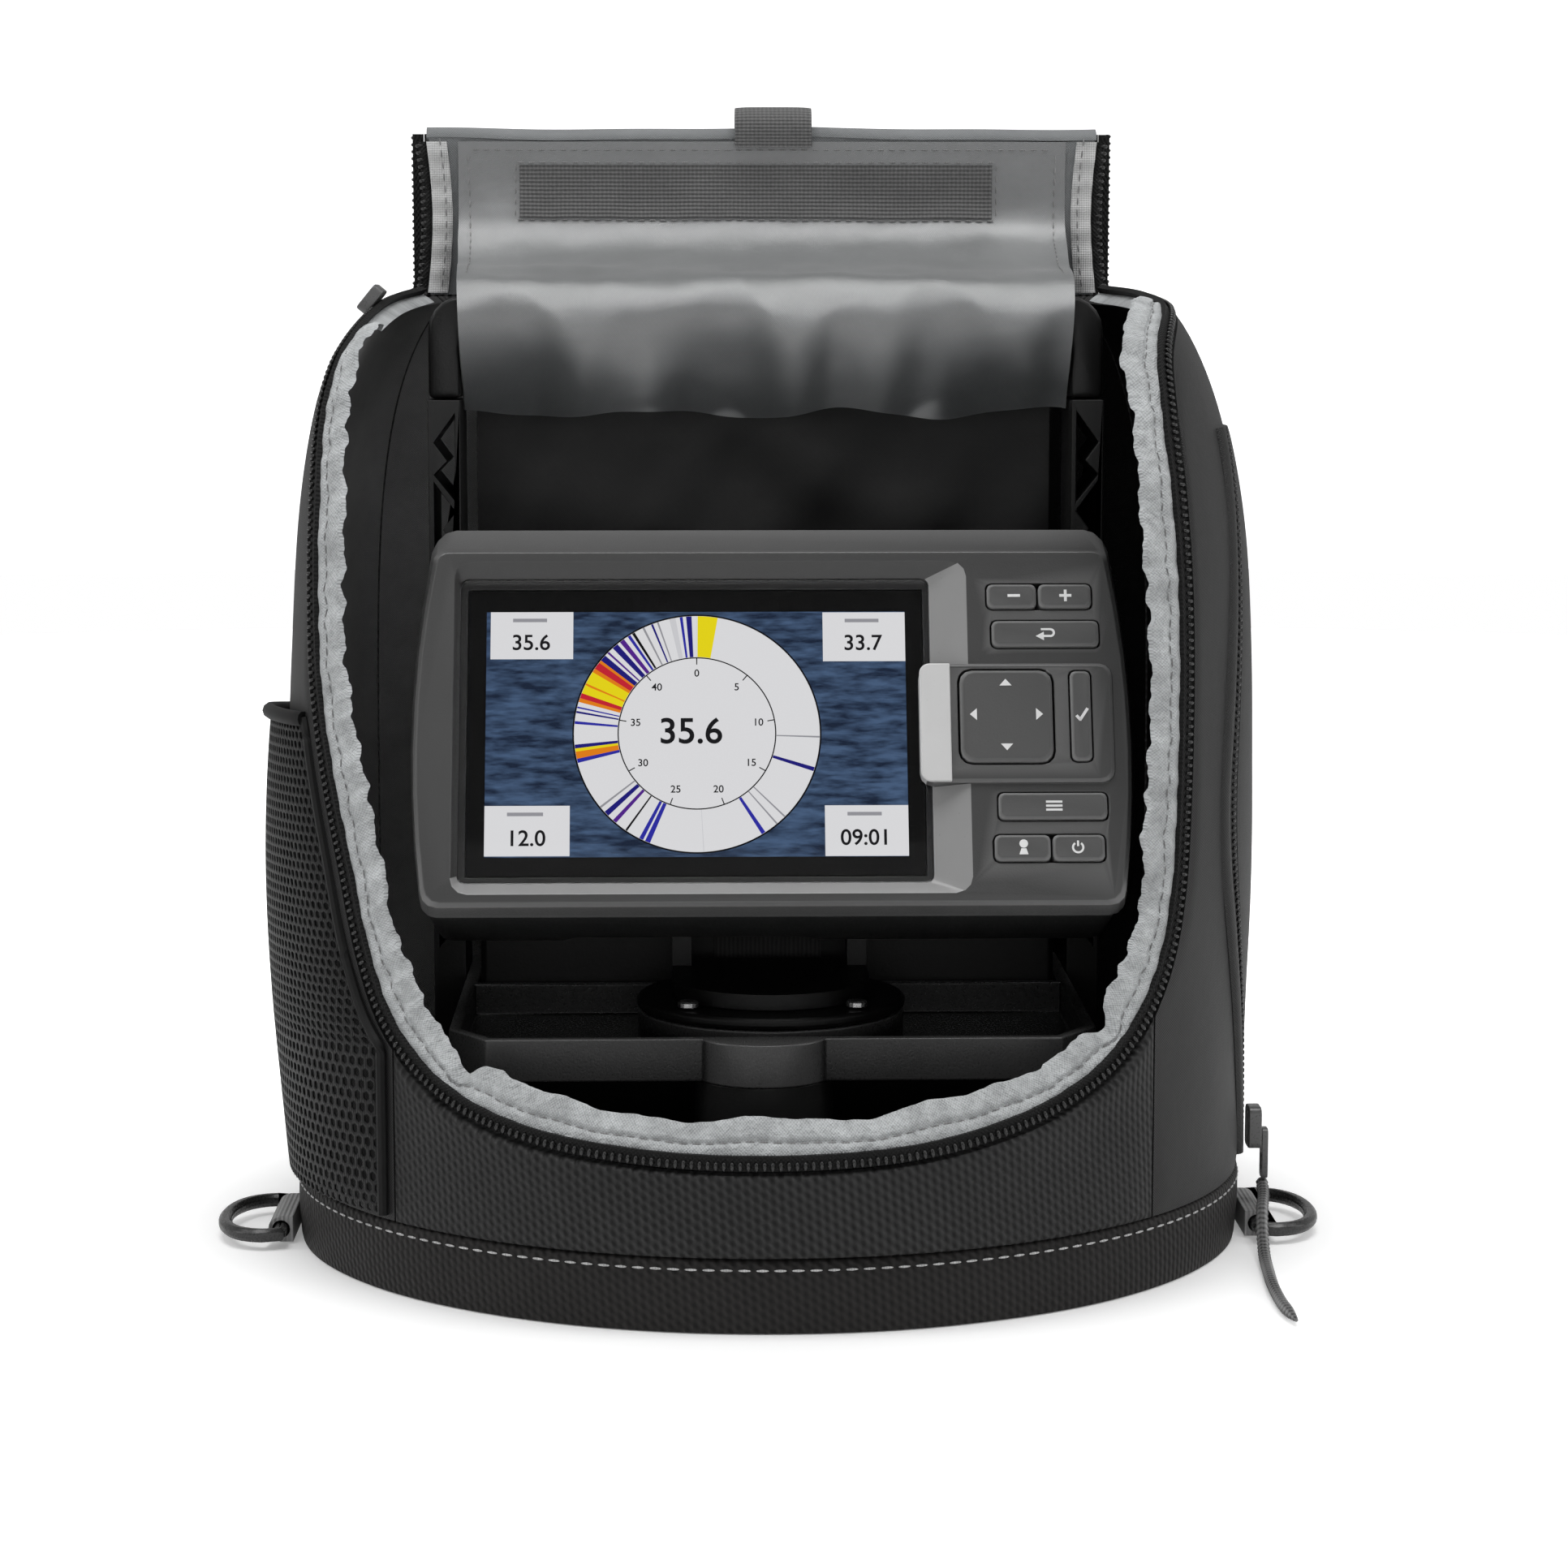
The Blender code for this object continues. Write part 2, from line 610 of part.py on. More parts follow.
def build_pull_cord():
    points = through_points(CORD_ROUTE, 24)
    curve = bpy.data.curves.new("side_pull_cord", "CURVE")
    curve.dimensions = "3D"
    curve.bevel_depth = CORD_RADIUS * MM
    curve.bevel_resolution = 2
    curve.use_fill_caps = True
    spline = curve.splines.new("POLY")
    spline.points.add(len(points) - 1)
    for place, point in zip(spline.points, points):
        place.co = (*(point * MM), 1.0)
    curve.materials.append(webbing())
    bpy.context.collection.objects.link(bpy.data.objects.new("side_pull_cord", curve))


def tube_round(name, path, radius, sides, finish):
    """Closed tube round a flat loop of (x, y) points at height 0."""
    path = np.array(path)
    along = np.roll(path, -1, 0) - np.roll(path, 1, 0)
    along /= np.linalg.norm(along, axis=1, keepdims=True)
    outwards = np.stack([along[:, 1], -along[:, 0]], 1)
    rings = []
    for point, out in zip(path, outwards):
        turns = np.radians(np.arange(sides) * 360 / sides + 22.5)
        rings.append([(*(point + out * radius * math.cos(a)), radius * math.sin(a)) for a in turns])
    return loft(name, rings, finish, closed=True)


def build_ring(side, side_name):
    """D-ring, its straight bar on the local Y axis, and the webbing tab that holds the bar."""
    sweep = np.radians(np.linspace(-84, 84, 19))
    bow = [(side * (1.2 + (RING_REACH - 1.2) * math.cos(a) ** 0.7), RING_HALF_WIDTH * math.sin(a))
           for a in sweep]
    bar = [(0.0, y) for y in (RING_HALF_WIDTH - 1.0, 7.0, -7.0, 1.0 - RING_HALF_WIDTH)]
    ring = tube_round(f"d_ring_{side_name}", bow + bar, RING_BAR_RADIUS, 8, black_plastic())
    smooth(ring).location = (side * RING_BAR_X * MM, RING_Y * MM, RING_Z * MM)
    wall = RING_BAR_RADIUS + 1.4
    root = -3.1
    loop = [(root, -wall)] + arc((0, 0), wall, -90, 90, 8) + [(root, wall)]
    outline = [(side * x, z) for x, z in loop]
    tab = prism(f"d_ring_tab_{side_name}", outline, -12.5, 12.5, webbing(), axis="y")
    hole = [(side * x, z) for x, z in circle((0, 0), RING_BAR_RADIUS + 0.45, 16)]
    cut(tab, prism("bar_hole", hole, -20, 20, webbing(), axis="y"))
    tab.location = ring.location


# ---------------------------------------------------------------- moulded frame

def build_base_tray():
    angles = np.linspace(-180, 180, 56, endpoint=False)

    def ring(z, inset):
        return [(x, y, z) for x, y, _ in bag_point(angles, np.full(len(angles), 20.0), inset)]
    floor_low, floor_high = TRAY_FLOOR_Z
    tray = loft("base_tray", [ring(floor_low, TRAY_INSET), ring(TRAY_RIM_Z, TRAY_INSET)],
                black_plastic())
    cut(tray, loft("tray_hollow", [ring(floor_high, TRAY_INSET + TRAY_WALL),
                                   ring(TRAY_RIM_Z + 5, TRAY_INSET + TRAY_WALL)], black_plastic()))


def build_upright(side, name):
    """Flat lattice post: two rails joined by ribs that zigzag between them."""
    low, high = TRAY_FLOOR_Z[1] + GAP, UPRIGHT_TOP_Z
    post = prism(name, rectangle(UPRIGHT_INNER, UPRIGHT_OUTER, low, high), *UPRIGHT_Y,
                 black_plastic(), axis="y")
    rail, rib, pitch = 1.4, 1.3, 18.0
    left, right = UPRIGHT_INNER + rail, UPRIGHT_OUTER - rail
    for k in range(int((high - 70.0) / pitch)):
        base = 68.0 + k * pitch
        wall, point = (left, right) if k % 2 else (right, left)
        window = [(wall, base + rib), (wall, base + pitch * 1.0 - rib), (point, base + pitch / 2)]
        back = [(point, base + pitch / 2 + 2 * rib), (point, base + pitch * 1.5 - 2 * rib),
                (wall, base + pitch + 0.6)]
        windows = [window] if base + pitch * 1.5 > high - 3 else [window, back]
        for shape in windows:
            cut(post, prism("window", shape, UPRIGHT_Y[0] - 5, UPRIGHT_Y[1] + 5, black_plastic(),
                            axis="y"))
    if side < 0:
        post.data.transform(Matrix.Scale(-1, 4, (1, 0, 0)))
        post.data.flip_normals()


def build_handle():
    outer = UPRIGHT_OUTER
    radius = 9.0
    low = UPRIGHT_TOP_Z + GAP
    inner_top = HANDLE_TOP_Z - HANDLE_BAR
    outline = [(-outer, low), (-UPRIGHT_INNER, low)]
    outline += arc((-UPRIGHT_INNER + 6, inner_top - 6), 6, 180, 90, 4)
    outline += arc((UPRIGHT_INNER - 6, inner_top - 6), 6, 90, 0, 4)
    outline += [(UPRIGHT_INNER, low), (outer, low)]
    outline += arc((outer - radius, HANDLE_TOP_Z - radius), radius, 0, 90, 5)
    outline += arc((-outer + radius, HANDLE_TOP_Z - radius), radius, 90, 180, 5)
    handle = prism("carry_handle", outline, *HANDLE_Y, black_plastic(), axis="y")
    soften(handle, 1.5, 2)


def build_shelf():
    half, front, corner = SHELF_HALF_WIDTH, SHELF_FRONT_Y, 14.0
    arm, back = 76.0, 16.0
    outline = [(-half, UPRIGHT_Y[1]), (-half, front + corner), (-half + 9.7, front),
               (half - 9.7, front), (half, front + corner), (half, UPRIGHT_Y[1]),
               (arm, UPRIGHT_Y[1]), (arm, back), (-arm, back), (-arm, UPRIGHT_Y[1])]
    shelf = prism("mount_shelf", outline, *SHELF_Z, black_plastic())
    wall = 3.0
    join(shelf, prism("boss", circle((POST_CENTRE[0], POST_CENTRE[1] - 2.0), POST_RADIUS, 28),
                      *SHELF_Z, black_plastic()))
    hollow = [(-half + wall, back - wall), (-half + wall, front + corner + 1), (-half + 11, front + wall),
              (half - 11, front + wall), (half - wall, front + corner + 1), (half - wall, back - wall)]
    cut(shelf, prism("hollow", hollow, SHELF_Z[0] + 2.5, SHELF_Z[1] + 5, black_plastic()))
    join(shelf, prism("pedestal", circle((0, SWIVEL_Y), SWIVEL_RADIUS - 0.4, 36), SHELF_Z[0] + 1,
                      SHELF_Z[1], black_plastic()))


def build_post():
    front = arc(POST_CENTRE, POST_RADIUS, 180, 360, 14)
    outline = front + [(POST_CENTRE[0] + POST_RADIUS, -40.0), (POST_CENTRE[0] - POST_RADIUS, -40.0)]
    smooth(prism("front_post", outline, TRAY_FLOOR_Z[1] + GAP, SHELF_Z[0] - GAP, black_plastic()))


def build_battery():
    half, (front, rear), (low, high) = BATTERY_HALF_WIDTH, BATTERY_Y, BATTERY_Z
    case = prism("battery_case", rectangle(-half, half, front, rear), low, high, black_plastic())
    soften(case, 1.2)
    cover = prism("battery_cover", rectangle(-half + 0.8, half - 0.8, front + 0.8, rear - 0.8),
                  high + GAP, high + 6.6, black_plastic())
    soften(cover, 1.2)
    top = high + 6.6 + GAP
    for side, label in ((-1, "negative"), (1, "positive")):
        tab = rectangle(side * 60 - 3.2, side * 60 + 3.2, front + 12.0, front + 13.0)
        prism(f"battery_terminal_{label}", tab, top, top + 6.5, steel())
    strap = 1.5
    line = [(front - GAP, low + 1), (front - GAP, top), (rear + GAP, top), (rear + GAP, low + 1),
            (rear + GAP + strap, low + 1), (rear + GAP + strap, top + strap),
            (front - GAP - strap, top + strap), (front - GAP - strap, low + 1)]
    prism("battery_strap", line, -14.0, 14.0, webbing(), axis="x")


# ---------------------------------------------------------------- tilt and swivel mount

def build_swivel():
    centre = (0.0, SWIVEL_Y)
    base = prism("swivel_base", circle(centre, SWIVEL_RADIUS, 36), *SWIVEL_BASE_Z, black_plastic())
    smooth(soften(base, 0.8))
    for side, label in ((-1, "left"), (1, "right")):
        place = (side * 20.9, SWIVEL_Y - 20.9)
        screw = prism(f"swivel_screw_{label}", circle(place, 2.6, 16), SWIVEL_BASE_Z[1] + GAP,
                      SWIVEL_BASE_Z[1] + GAP + 1.8, steel())
        smooth(soften(screw, 0.4))
    outline = arc(centre, 25.0, 180, 360, 18) + [(25.0, 10.0), (-25.0, 10.0)]
    yoke = prism("yoke", outline, *YOKE_PLATE_Z, black_plastic())
    ear_half = 6.0
    for side in (-1, 1):
        near, far = sorted((side * YOKE_EAR_X[0], side * YOKE_EAR_X[1]))
        ear = [(PIN_Y - ear_half, YOKE_PLATE_Z[0] + 1), (PIN_Y + ear_half, YOKE_PLATE_Z[0] + 1)]
        ear += arc((PIN_Y, PIN_Z), ear_half, 0, 180, 10)
        join(yoke, prism("ear", ear, near, far, black_plastic(), axis="x"))
    cut(yoke, prism("pin_hole", circle((PIN_Y, PIN_Z), PIN_HOLE_RADIUS, 20), -40, 40,
                    black_plastic(), axis="x"))
    return yoke


def build_tilt_hardware():
    """The pin's shank and head turned about X, and its clamping knob."""
    profile = [(-28.5, 6.0), (-25.3, 6.0), (-25.3, PIN_RADIUS), (27.0, PIN_RADIUS)]
    rings = [[(x, y, z) for y, z in circle((0, 0), radius, 20)] for x, radius in profile]
    pin = smooth(loft("tilt_pin", rings, steel()))
    pin.location = (0, PIN_Y * MM, PIN_Z * MM)
    turns = np.radians(np.arange(0, 360, 10))
    lobes = [(r * math.cos(a), r * math.sin(a)) for a, r in
             zip(turns, KNOB_RADIUS - 0.9 + 0.9 * np.cos(6 * turns))]
    knob = prism("tilt_knob", lobes, 27.3, 38.0, black_plastic(), axis="x")
    smooth(soften(knob, 1.0)).location = pin.location


def unit_box(name, left, right, bottom, top, back, front, finish):
    return prism(name, rectangle(left, right, bottom, top), -front, -back, finish, axis="y")


def pin_in_unit():
    """The tilt pin's (v, w) in the head unit's axes."""
    lean = math.radians(LEAN)
    dy, dz = PIN_Y - FACE_CENTRE[1], PIN_Z - FACE_CENTRE[2]
    return (dy * math.sin(lean) + dz * math.cos(lean), -dy * math.cos(lean) + dz * math.sin(lean))


def build_cradle(face):
    pin_v, pin_w = pin_in_unit()
    plate_back, plate_front = HOUSING_BACK - 5.0, HOUSING_BACK - GAP
    plate = rounded_rectangle(-26, 26, -38, 22, 5)
    cradle = prism("cradle", plate, -plate_front, -plate_back, black_plastic(), axis="y")
    reach = 6.4
    for side in (-1, 1):
        near, far = sorted((side * 14.0, side * 19.5))
        lug = [(-plate_back - 1, pin_v - reach)] + arc((-pin_w, pin_v), reach, -90, 90, 10)
        lug += [(-plate_back - 1, pin_v + reach)]
        join(cradle, prism("lug", lug, near, far, black_plastic(), axis="x"))
    cut(cradle, prism("pin_hole", circle((-pin_w, pin_v), PIN_HOLE_RADIUS, 20), -40, 40,
                      black_plastic(), axis="x"))
    cradle.parent = face
    latch = prism("release_latch", rounded_rectangle(-12, 12, 22.4, 31, 2), -plate_front + GAP,
                  -plate_back - 0.2, unit_plastic(), axis="y")
    latch.parent = face


# ---------------------------------------------------------------- head unit

def unit_outline(bottom, top, half_bottom, half_top, bulge, foot, crown, inset=0.0):
    """Outline of the unit: flat foot, bowed sides, and top corners rounded to an ellipse.

    foot is the lower corners' radius, crown is the upper corners' (width, height).
    """
    bottom, top = bottom + inset, top - inset
    half_bottom, half_top = half_bottom - inset, half_top - inset
    rise = np.linspace(0, 1, 8)
    heights = bottom + foot + (top - crown[1] - bottom - foot) * rise
    halves = half_bottom + (half_top - half_bottom) * rise + 4 * bulge * rise * (1 - rise)
    right = arc((half_bottom - foot, bottom + foot), foot, -90, 0, 3)[:-1]
    right += list(zip(halves, heights))
    turn = np.radians(np.linspace(0, 90, 5))[1:]
    right += [(half_top - crown[0] * (1 - math.cos(a)), top - crown[1] * (1 - math.sin(a)))
              for a in turn]
    return right + [(-x, v) for x, v in reversed(right)]


def at_depth(outline, w):
    return [(u, -w, v) for u, v in outline]


def face_outline(inset=0.0):
    return unit_outline(FACE_BOTTOM, FACE_TOP, 85.5, 83.6, 3.2, 4.0, (3.0, 3.0), inset)


def body_outline(inset=0.0):
    return unit_outline(FACE_BOTTOM - 0.6, 52.5, 86.0, 84.8, 3.2, 4.0, (6.5, 9.5), inset)


def build_bezel(face):
    bezel = loft("front_bezel", [at_depth(face_outline(1.0), 0.0), at_depth(face_outline(), -1.0),
                                 at_depth(body_outline(), -6.0), at_depth(body_outline(), BEZEL_BACK)],
                 unit_plastic())
    left, right, bottom, top = GLASS
    seat = (left - GAP, right + GAP, bottom - GAP, top + GAP)
    brim = (-78.2, 48.2, -42.4, 42.2)
    depths = (GLASS_BACK - GAP, GLASS_FRONT + 0.1, 2.0)
    slope = [0.0, 0.0, (depths[2] - depths[1]) / (0.0 - depths[1])]
    rings = []
    for w, part in zip(depths, slope):
        edges = [a + (b - a) * part for a, b in zip(seat, brim)]
        rings.append(at_depth(rounded_rectangle(*edges, 2.0 + 2.0 * part, 3), w))
    cut(bezel, loft("glass_seat", rings, unit_plastic()),
        unit_box("window", left + 1.6, right - 1.2, bottom + 1.8, top - 1.9, -20, 0, unit_plastic()))
    island = [at_depth(rounded_rectangle(36.0 + i, 83.5 - i, -15.0 + i, 15.3 - i, 3.0, 3), w)
              for i, w in ((0.0, -3.0), (0.0, 0.5), (0.7, 1.2))]
    join(bezel, loft("island", island, unit_plastic()))
    wells = [("minus_key", "plus_key"), ("back_key", "back_key"), ("menu_key", "menu_key"),
             ("mark_key", "power_key"), ("select_key", "select_key")]
    for first, last in wells:
        low, high = KEYS[first], KEYS[last]
        edges = (low[0] - KEY_CLEARANCE, high[1] + KEY_CLEARANCE, low[2] - KEY_CLEARANCE,
                 low[3] + KEY_CLEARANCE)
        cut(bezel, prism("well", rounded_rectangle(*edges, 1.4, 2), -5, 20, unit_plastic(), axis="y"))
    du, dv = DPAD_SIZE[0] / 2 + 0.5, DPAD_SIZE[1] / 2 + 0.5
    cu, cv = DPAD_CENTRE
    cut(bezel, prism("dpad_well", rounded_rectangle(cu - du, cu + du, cv - dv, cv + dv, 3.3, 3), -5, 20,
                     unit_plastic(), axis="y"),
        unit_box("membrane_recess", 50.0, 82.0, -37.0, 38.3, -15, -4.6, unit_plastic()))
    bezel.parent = face


def build_housing(face):
    def ring(depth, inset):
        if depth > -12:
            return at_depth(body_outline(0.8 + inset), depth)
        if depth > -42:
            return at_depth(unit_outline(-45.0, 47.0, 84.0, 78.0, 2.6, 4.0, (8.0, 9.0), inset), depth)
        return at_depth(unit_outline(-41.0, 40.0, 79.0, 72.0, 2.0, 4.0, (8.0, 8.0), inset), depth)
    housing = loft("rear_housing", [ring(BEZEL_BACK - GAP, 0), ring(-11.5, 0), ring(-38.0, 0),
                                    ring(HOUSING_BACK, 0)], unit_plastic())
    wall = 2.5
    hollow = loft("hollow", [ring(BEZEL_BACK + 2, wall), ring(-11.5, wall), ring(-38.0, wall),
                             ring(HOUSING_BACK + wall, wall)], unit_plastic())
    notch_floor = [(-54.0, -46.2), (14.0, -46.2), (9.0, -43.6), (-49.0, -43.6)]
    notch = prism("notch", notch_floor, 33.0, 60.0, unit_plastic(), axis="y")
    cut(housing, hollow, notch)
    housing.parent = face


def build_unit_insides(face):
    left, right, bottom, top = GLASS
    glass = prism("display_glass", rounded_rectangle(left, right, bottom, top, 1.8), -GLASS_FRONT,
                  -GLASS_BACK, material("display_glass", (0.01, 0.01, 0.012), 0.05), axis="y")
    lcd = unit_box("lcd_panel", left + 2.0, right - 1.6, bottom + 2.2, top - 2.3, -11.0, -5.5,
                   material("lcd_panel", (0.08, 0.12, 0.22), 0.3))
    board = unit_box("circuit_board", -76, 76, -38, 38, -15.0, -13.4,
                     material("circuit_board", (0.02, 0.12, 0.05), 0.5))
    membrane = unit_box("keypad_membrane", 50.4, 81.6, -36.6, 37.9, -8.9, -4.9, key_rubber())
    socket = prism("power_socket", circle((52.0, -5.0), 9.0, 24), -HOUSING_BACK + GAP, 54.3,
                   black_plastic(), axis="y")
    cut(socket, prism("bore", circle((52.0, -5.0), 6.2, 24), 48.0, 60.0, black_plastic(), axis="y"))
    for piece in (glass, lcd, board, membrane, socket):
        piece.parent = face


def build_keys(face):
    for name, (left, right, bottom, top) in KEYS.items():
        centre = ((left + right) / 2, (bottom + top) / 2)
        half = ((right - left) / 2, (top - bottom) / 2)
        front = 2.0 if name == "select_key" else KEY_FRONT
        rings = [at_depth(rounded_rectangle(-half[0] + i, half[0] - i, -half[1] + i, half[1] - i, 1.2, 2), w)
                 for i, w in ((0, KEY_BACK), (0, front - 0.5), (0.5, front))]
        key = loft(name, rings, key_rubber())
        key.location = (centre[0] * MM, 0, centre[1] * MM)
        key.parent = face
    half = (DPAD_SIZE[0] / 2, DPAD_SIZE[1] / 2)
    rings = [at_depth(rounded_rectangle(-half[0] + i, half[0] - i, -half[1] + i, half[1] - i, 3.0, 3), w)
             for i, w in ((0.3, -3.4), (0, -1.0), (0, 1.6), (0.6, 2.2))]
    dpad = loft("dpad", rings, key_rubber())
    pivot = prism("dpad_pivot", circle((0, 0), 2.6, 12), 3.75, 4.5, key_rubber(), axis="y")
    for piece in (dpad, pivot):
        piece.location = (DPAD_CENTRE[0] * MM, 0, DPAD_CENTRE[1] * MM)
        piece.parent = face


def build_head_unit():
    """Everything on the tilting head hangs from an empty on the tilt pin's axis."""
    tilt_axis = bpy.data.objects.new("tilt_axis", None)
    bpy.context.collection.objects.link(tilt_axis)
    tilt_axis.location = (0, PIN_Y * MM, PIN_Z * MM)
    face = bpy.data.objects.new("face_axes", None)
    bpy.context.collection.objects.link(face)
    face.parent = tilt_axis
    face.location = (0, (FACE_CENTRE[1] - PIN_Y) * MM, (FACE_CENTRE[2] - PIN_Z) * MM)
    face.rotation_euler = (math.radians(-LEAN), 0, 0)
    build_cradle(face)
    build_bezel(face)
    build_housing(face)
    build_unit_insides(face)
    build_keys(face)


# ---------------------------------------------------------------- assembly

def main():
    clear_scene()
    build_bag_base()
    build_front_panel()
    build_side_panel("bag_left_panel", -1)
    build_side_panel("bag_right_panel", 1)
    build_back_panel()
    build_opening_trim()
    build_lid_top()
    fold = bpy.data.objects.new("lid_fold_axis", None)
    bpy.context.collection.objects.link(fold)
    fold.location = (0, (LID_Y + 2.8) * MM, LID_FOLD_Z * MM)
    build_hanging_lid(fold)
    build_flap_and_strap()
    build_mesh_pocket()
    build_side_pocket()
    build_side_slider()
    build_ring(-1, "left")
    build_ring(1, "right")
    build_base_tray()
    build_upright(-1, "left_upright")
    build_upright(1, "right_upright")
    build_handle()
    build_shelf()
    build_post()
    build_battery()
    build_swivel()
    build_tilt_hardware()
    build_head_unit()


main()
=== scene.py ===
# %% [markdown]
# # A portable fish finder kit
# A sonar display stands on a tilt and swivel mount inside an unzipped bag with a moulded carry
# frame. The mechanical model comes in as a frame of named pieces, and this lesson gives each one
# its cloth, stitching, moulding and print.

# %% Load the mechanical frame
import json
import math

import bmesh
import bpy
import numpy as np
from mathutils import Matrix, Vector

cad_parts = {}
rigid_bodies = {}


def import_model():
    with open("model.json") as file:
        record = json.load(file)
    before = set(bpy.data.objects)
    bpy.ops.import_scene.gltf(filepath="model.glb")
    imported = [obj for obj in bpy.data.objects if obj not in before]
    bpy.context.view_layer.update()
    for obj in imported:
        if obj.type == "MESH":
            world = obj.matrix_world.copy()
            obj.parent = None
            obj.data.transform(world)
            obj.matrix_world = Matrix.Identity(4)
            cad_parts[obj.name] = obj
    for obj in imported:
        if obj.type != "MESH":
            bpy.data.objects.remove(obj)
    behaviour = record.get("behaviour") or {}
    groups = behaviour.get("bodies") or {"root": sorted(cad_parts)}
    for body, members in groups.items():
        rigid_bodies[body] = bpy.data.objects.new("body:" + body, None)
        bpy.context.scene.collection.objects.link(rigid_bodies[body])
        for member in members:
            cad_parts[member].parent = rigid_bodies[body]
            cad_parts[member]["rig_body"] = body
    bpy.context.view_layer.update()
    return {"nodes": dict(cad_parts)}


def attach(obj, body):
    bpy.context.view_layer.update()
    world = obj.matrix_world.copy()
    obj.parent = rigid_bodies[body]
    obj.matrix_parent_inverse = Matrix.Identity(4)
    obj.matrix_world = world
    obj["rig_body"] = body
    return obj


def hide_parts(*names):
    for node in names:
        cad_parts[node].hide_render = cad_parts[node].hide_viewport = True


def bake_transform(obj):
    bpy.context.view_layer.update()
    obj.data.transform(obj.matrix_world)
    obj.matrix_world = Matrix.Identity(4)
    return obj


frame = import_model()
MM = 0.001

# %% [markdown]
# A product camera stands about a metre in front, a little above the display, and looks slightly
# down with a long lens, so that the bag keeps its true proportions. The eye point, tilt and lens
# belong together, so they are set as one camera and left alone.

# %% Camera
camera_data = bpy.data.cameras.new("kit_camera")
camera_data.lens = 84.5
camera_data.sensor_width = 36.0
camera_data.clip_start = 0.02
camera = bpy.data.objects.new("kit_camera", camera_data)
camera.location = (-0.01907, -0.93599, 0.24011)
camera.rotation_euler = (math.radians(82.5), 0.0, math.radians(-1.4))
bpy.context.scene.collection.objects.link(camera)
bpy.context.scene.camera = camera
print("camera height above the floor in mm:", round(camera.location.z * 1000))

# %% [markdown]
# Almost every piece here is a surface over a grid. One helper turns a grid of points into quads,
# and can close it round, close it into a two-sided sheet, and store a cloth map in metres so
# that a weave keeps its true size. Working on whole arrays keeps fine cloth quick to make.

# %% Grid surfaces
def grid_quads(rows, columns, wrap_rows=False, wrap_columns=False):
    """Corner numbers of the quads of a rows x columns grid, numbered row by row."""
    r = np.arange(rows if wrap_rows else rows - 1)[:, None]
    c = np.arange(columns if wrap_columns else columns - 1)[None, :]
    r2, c2 = (r + 1) % rows, (c + 1) % columns
    corners = [r * columns + c, r * columns + c2, r2 * columns + c2, r2 * columns + c]
    return np.stack([np.broadcast_to(k, (r.size, c.size)).ravel() for k in corners], 1)


def put_mesh(name, points, faces, finish, cloth_map=None):
    """Object from points in millimetres and faces; cloth_map gives each point's (u, v) in metres."""
    mesh = bpy.data.meshes.new(name)
    mesh.from_pydata((np.asarray(points, float) * MM).tolist(), [], [list(f) for f in faces])
    mesh.materials.append(finish)
    if cloth_map is not None:
        corner_points = np.empty(len(mesh.loops), int)
        mesh.loops.foreach_get("vertex_index", corner_points)
        layer = mesh.uv_layers.new(name="cloth")
        layer.data.foreach_set("uv", np.asarray(cloth_map, np.float32)[corner_points].ravel())
    mesh.validate()
    mesh.shade_smooth()
    made = bpy.data.objects.new(name, mesh)
    bpy.context.scene.collection.objects.link(made)
    return made


def face_outwards(made, angle=40, merge=True):
    """Turn the faces of a closed piece outwards and keep corners sharper than the angle crisp."""
    shaped = bmesh.new()
    shaped.from_mesh(made.data)
    if merge:
        bmesh.ops.remove_doubles(shaped, verts=shaped.verts, dist=1e-7)
    bmesh.ops.recalc_face_normals(shaped, faces=shaped.faces)
    shaped.to_mesh(made.data)
    shaped.free()
    made.data.shade_smooth()
    made.data.set_sharp_from_angle(angle=math.radians(angle))
    return made


def two_sided(name, outer, inner, finish, cloth_map=None, lining=None, angle=40):
    """Closed cloth between an outer and an inner grid; the rim joins their edges all round."""
    rows, columns = outer.shape[:2]
    count = rows * columns
    quads = grid_quads(rows, columns)
    rim = np.concatenate([np.arange(columns), np.arange(1, rows) * columns + columns - 1,
                          (rows - 1) * columns + np.arange(columns - 2, -1, -1),
                          np.arange(rows - 2, 0, -1) * columns])
    after = np.roll(rim, -1)
    edge = np.stack([after, rim, rim + count, after + count], 1)
    faces = np.concatenate([quads, quads[:, ::-1] + count, edge])
    both = None if cloth_map is None else np.tile(np.asarray(cloth_map).reshape(-1, 2), (2, 1))
    made = put_mesh(name, np.concatenate([outer.reshape(-1, 3), inner.reshape(-1, 3)]), faces,
                    finish, both)
    if lining is not None:
        made.data.materials.append(lining)
        slots = np.zeros(len(made.data.polygons), np.int32)
        slots[len(quads):2 * len(quads)] = 1
        made.data.polygons.foreach_set("material_index", slots)
    return face_outwards(made, angle)


def tube(name, path, radius, finish, sides=10):
    """Round tube along a path of points: rings square to the path, closed at both ends.

    Each ring is path + radius * (cos a * side + sin a * rise); radius may change along the path.
    """
    path = np.asarray(path, float)
    along = np.gradient(path, axis=0)
    along /= np.linalg.norm(along, axis=1, keepdims=True)
    hint = np.where(np.abs(along[:, 2:]) > 0.9, [[1.0, 0, 0]], [[0, 0, 1.0]])
    side = np.cross(along, hint)
    side /= np.linalg.norm(side, axis=1, keepdims=True)
    rise = np.cross(side, along)
    turn = np.linspace(0, 2 * np.pi, sides, endpoint=False)
    radius = np.broadcast_to(radius, len(path))[:, None, None]
    rings = path[:, None] + radius * (np.cos(turn)[None, :, None] * side[:, None]
                                      + np.sin(turn)[None, :, None] * rise[:, None])
    faces = grid_quads(len(path), sides, wrap_columns=True).tolist()
    faces += [list(range(sides)), list(range((len(path) - 1) * sides, len(path) * sides))]
    return face_outwards(put_mesh(name, rings.reshape(-1, 3), faces, finish))


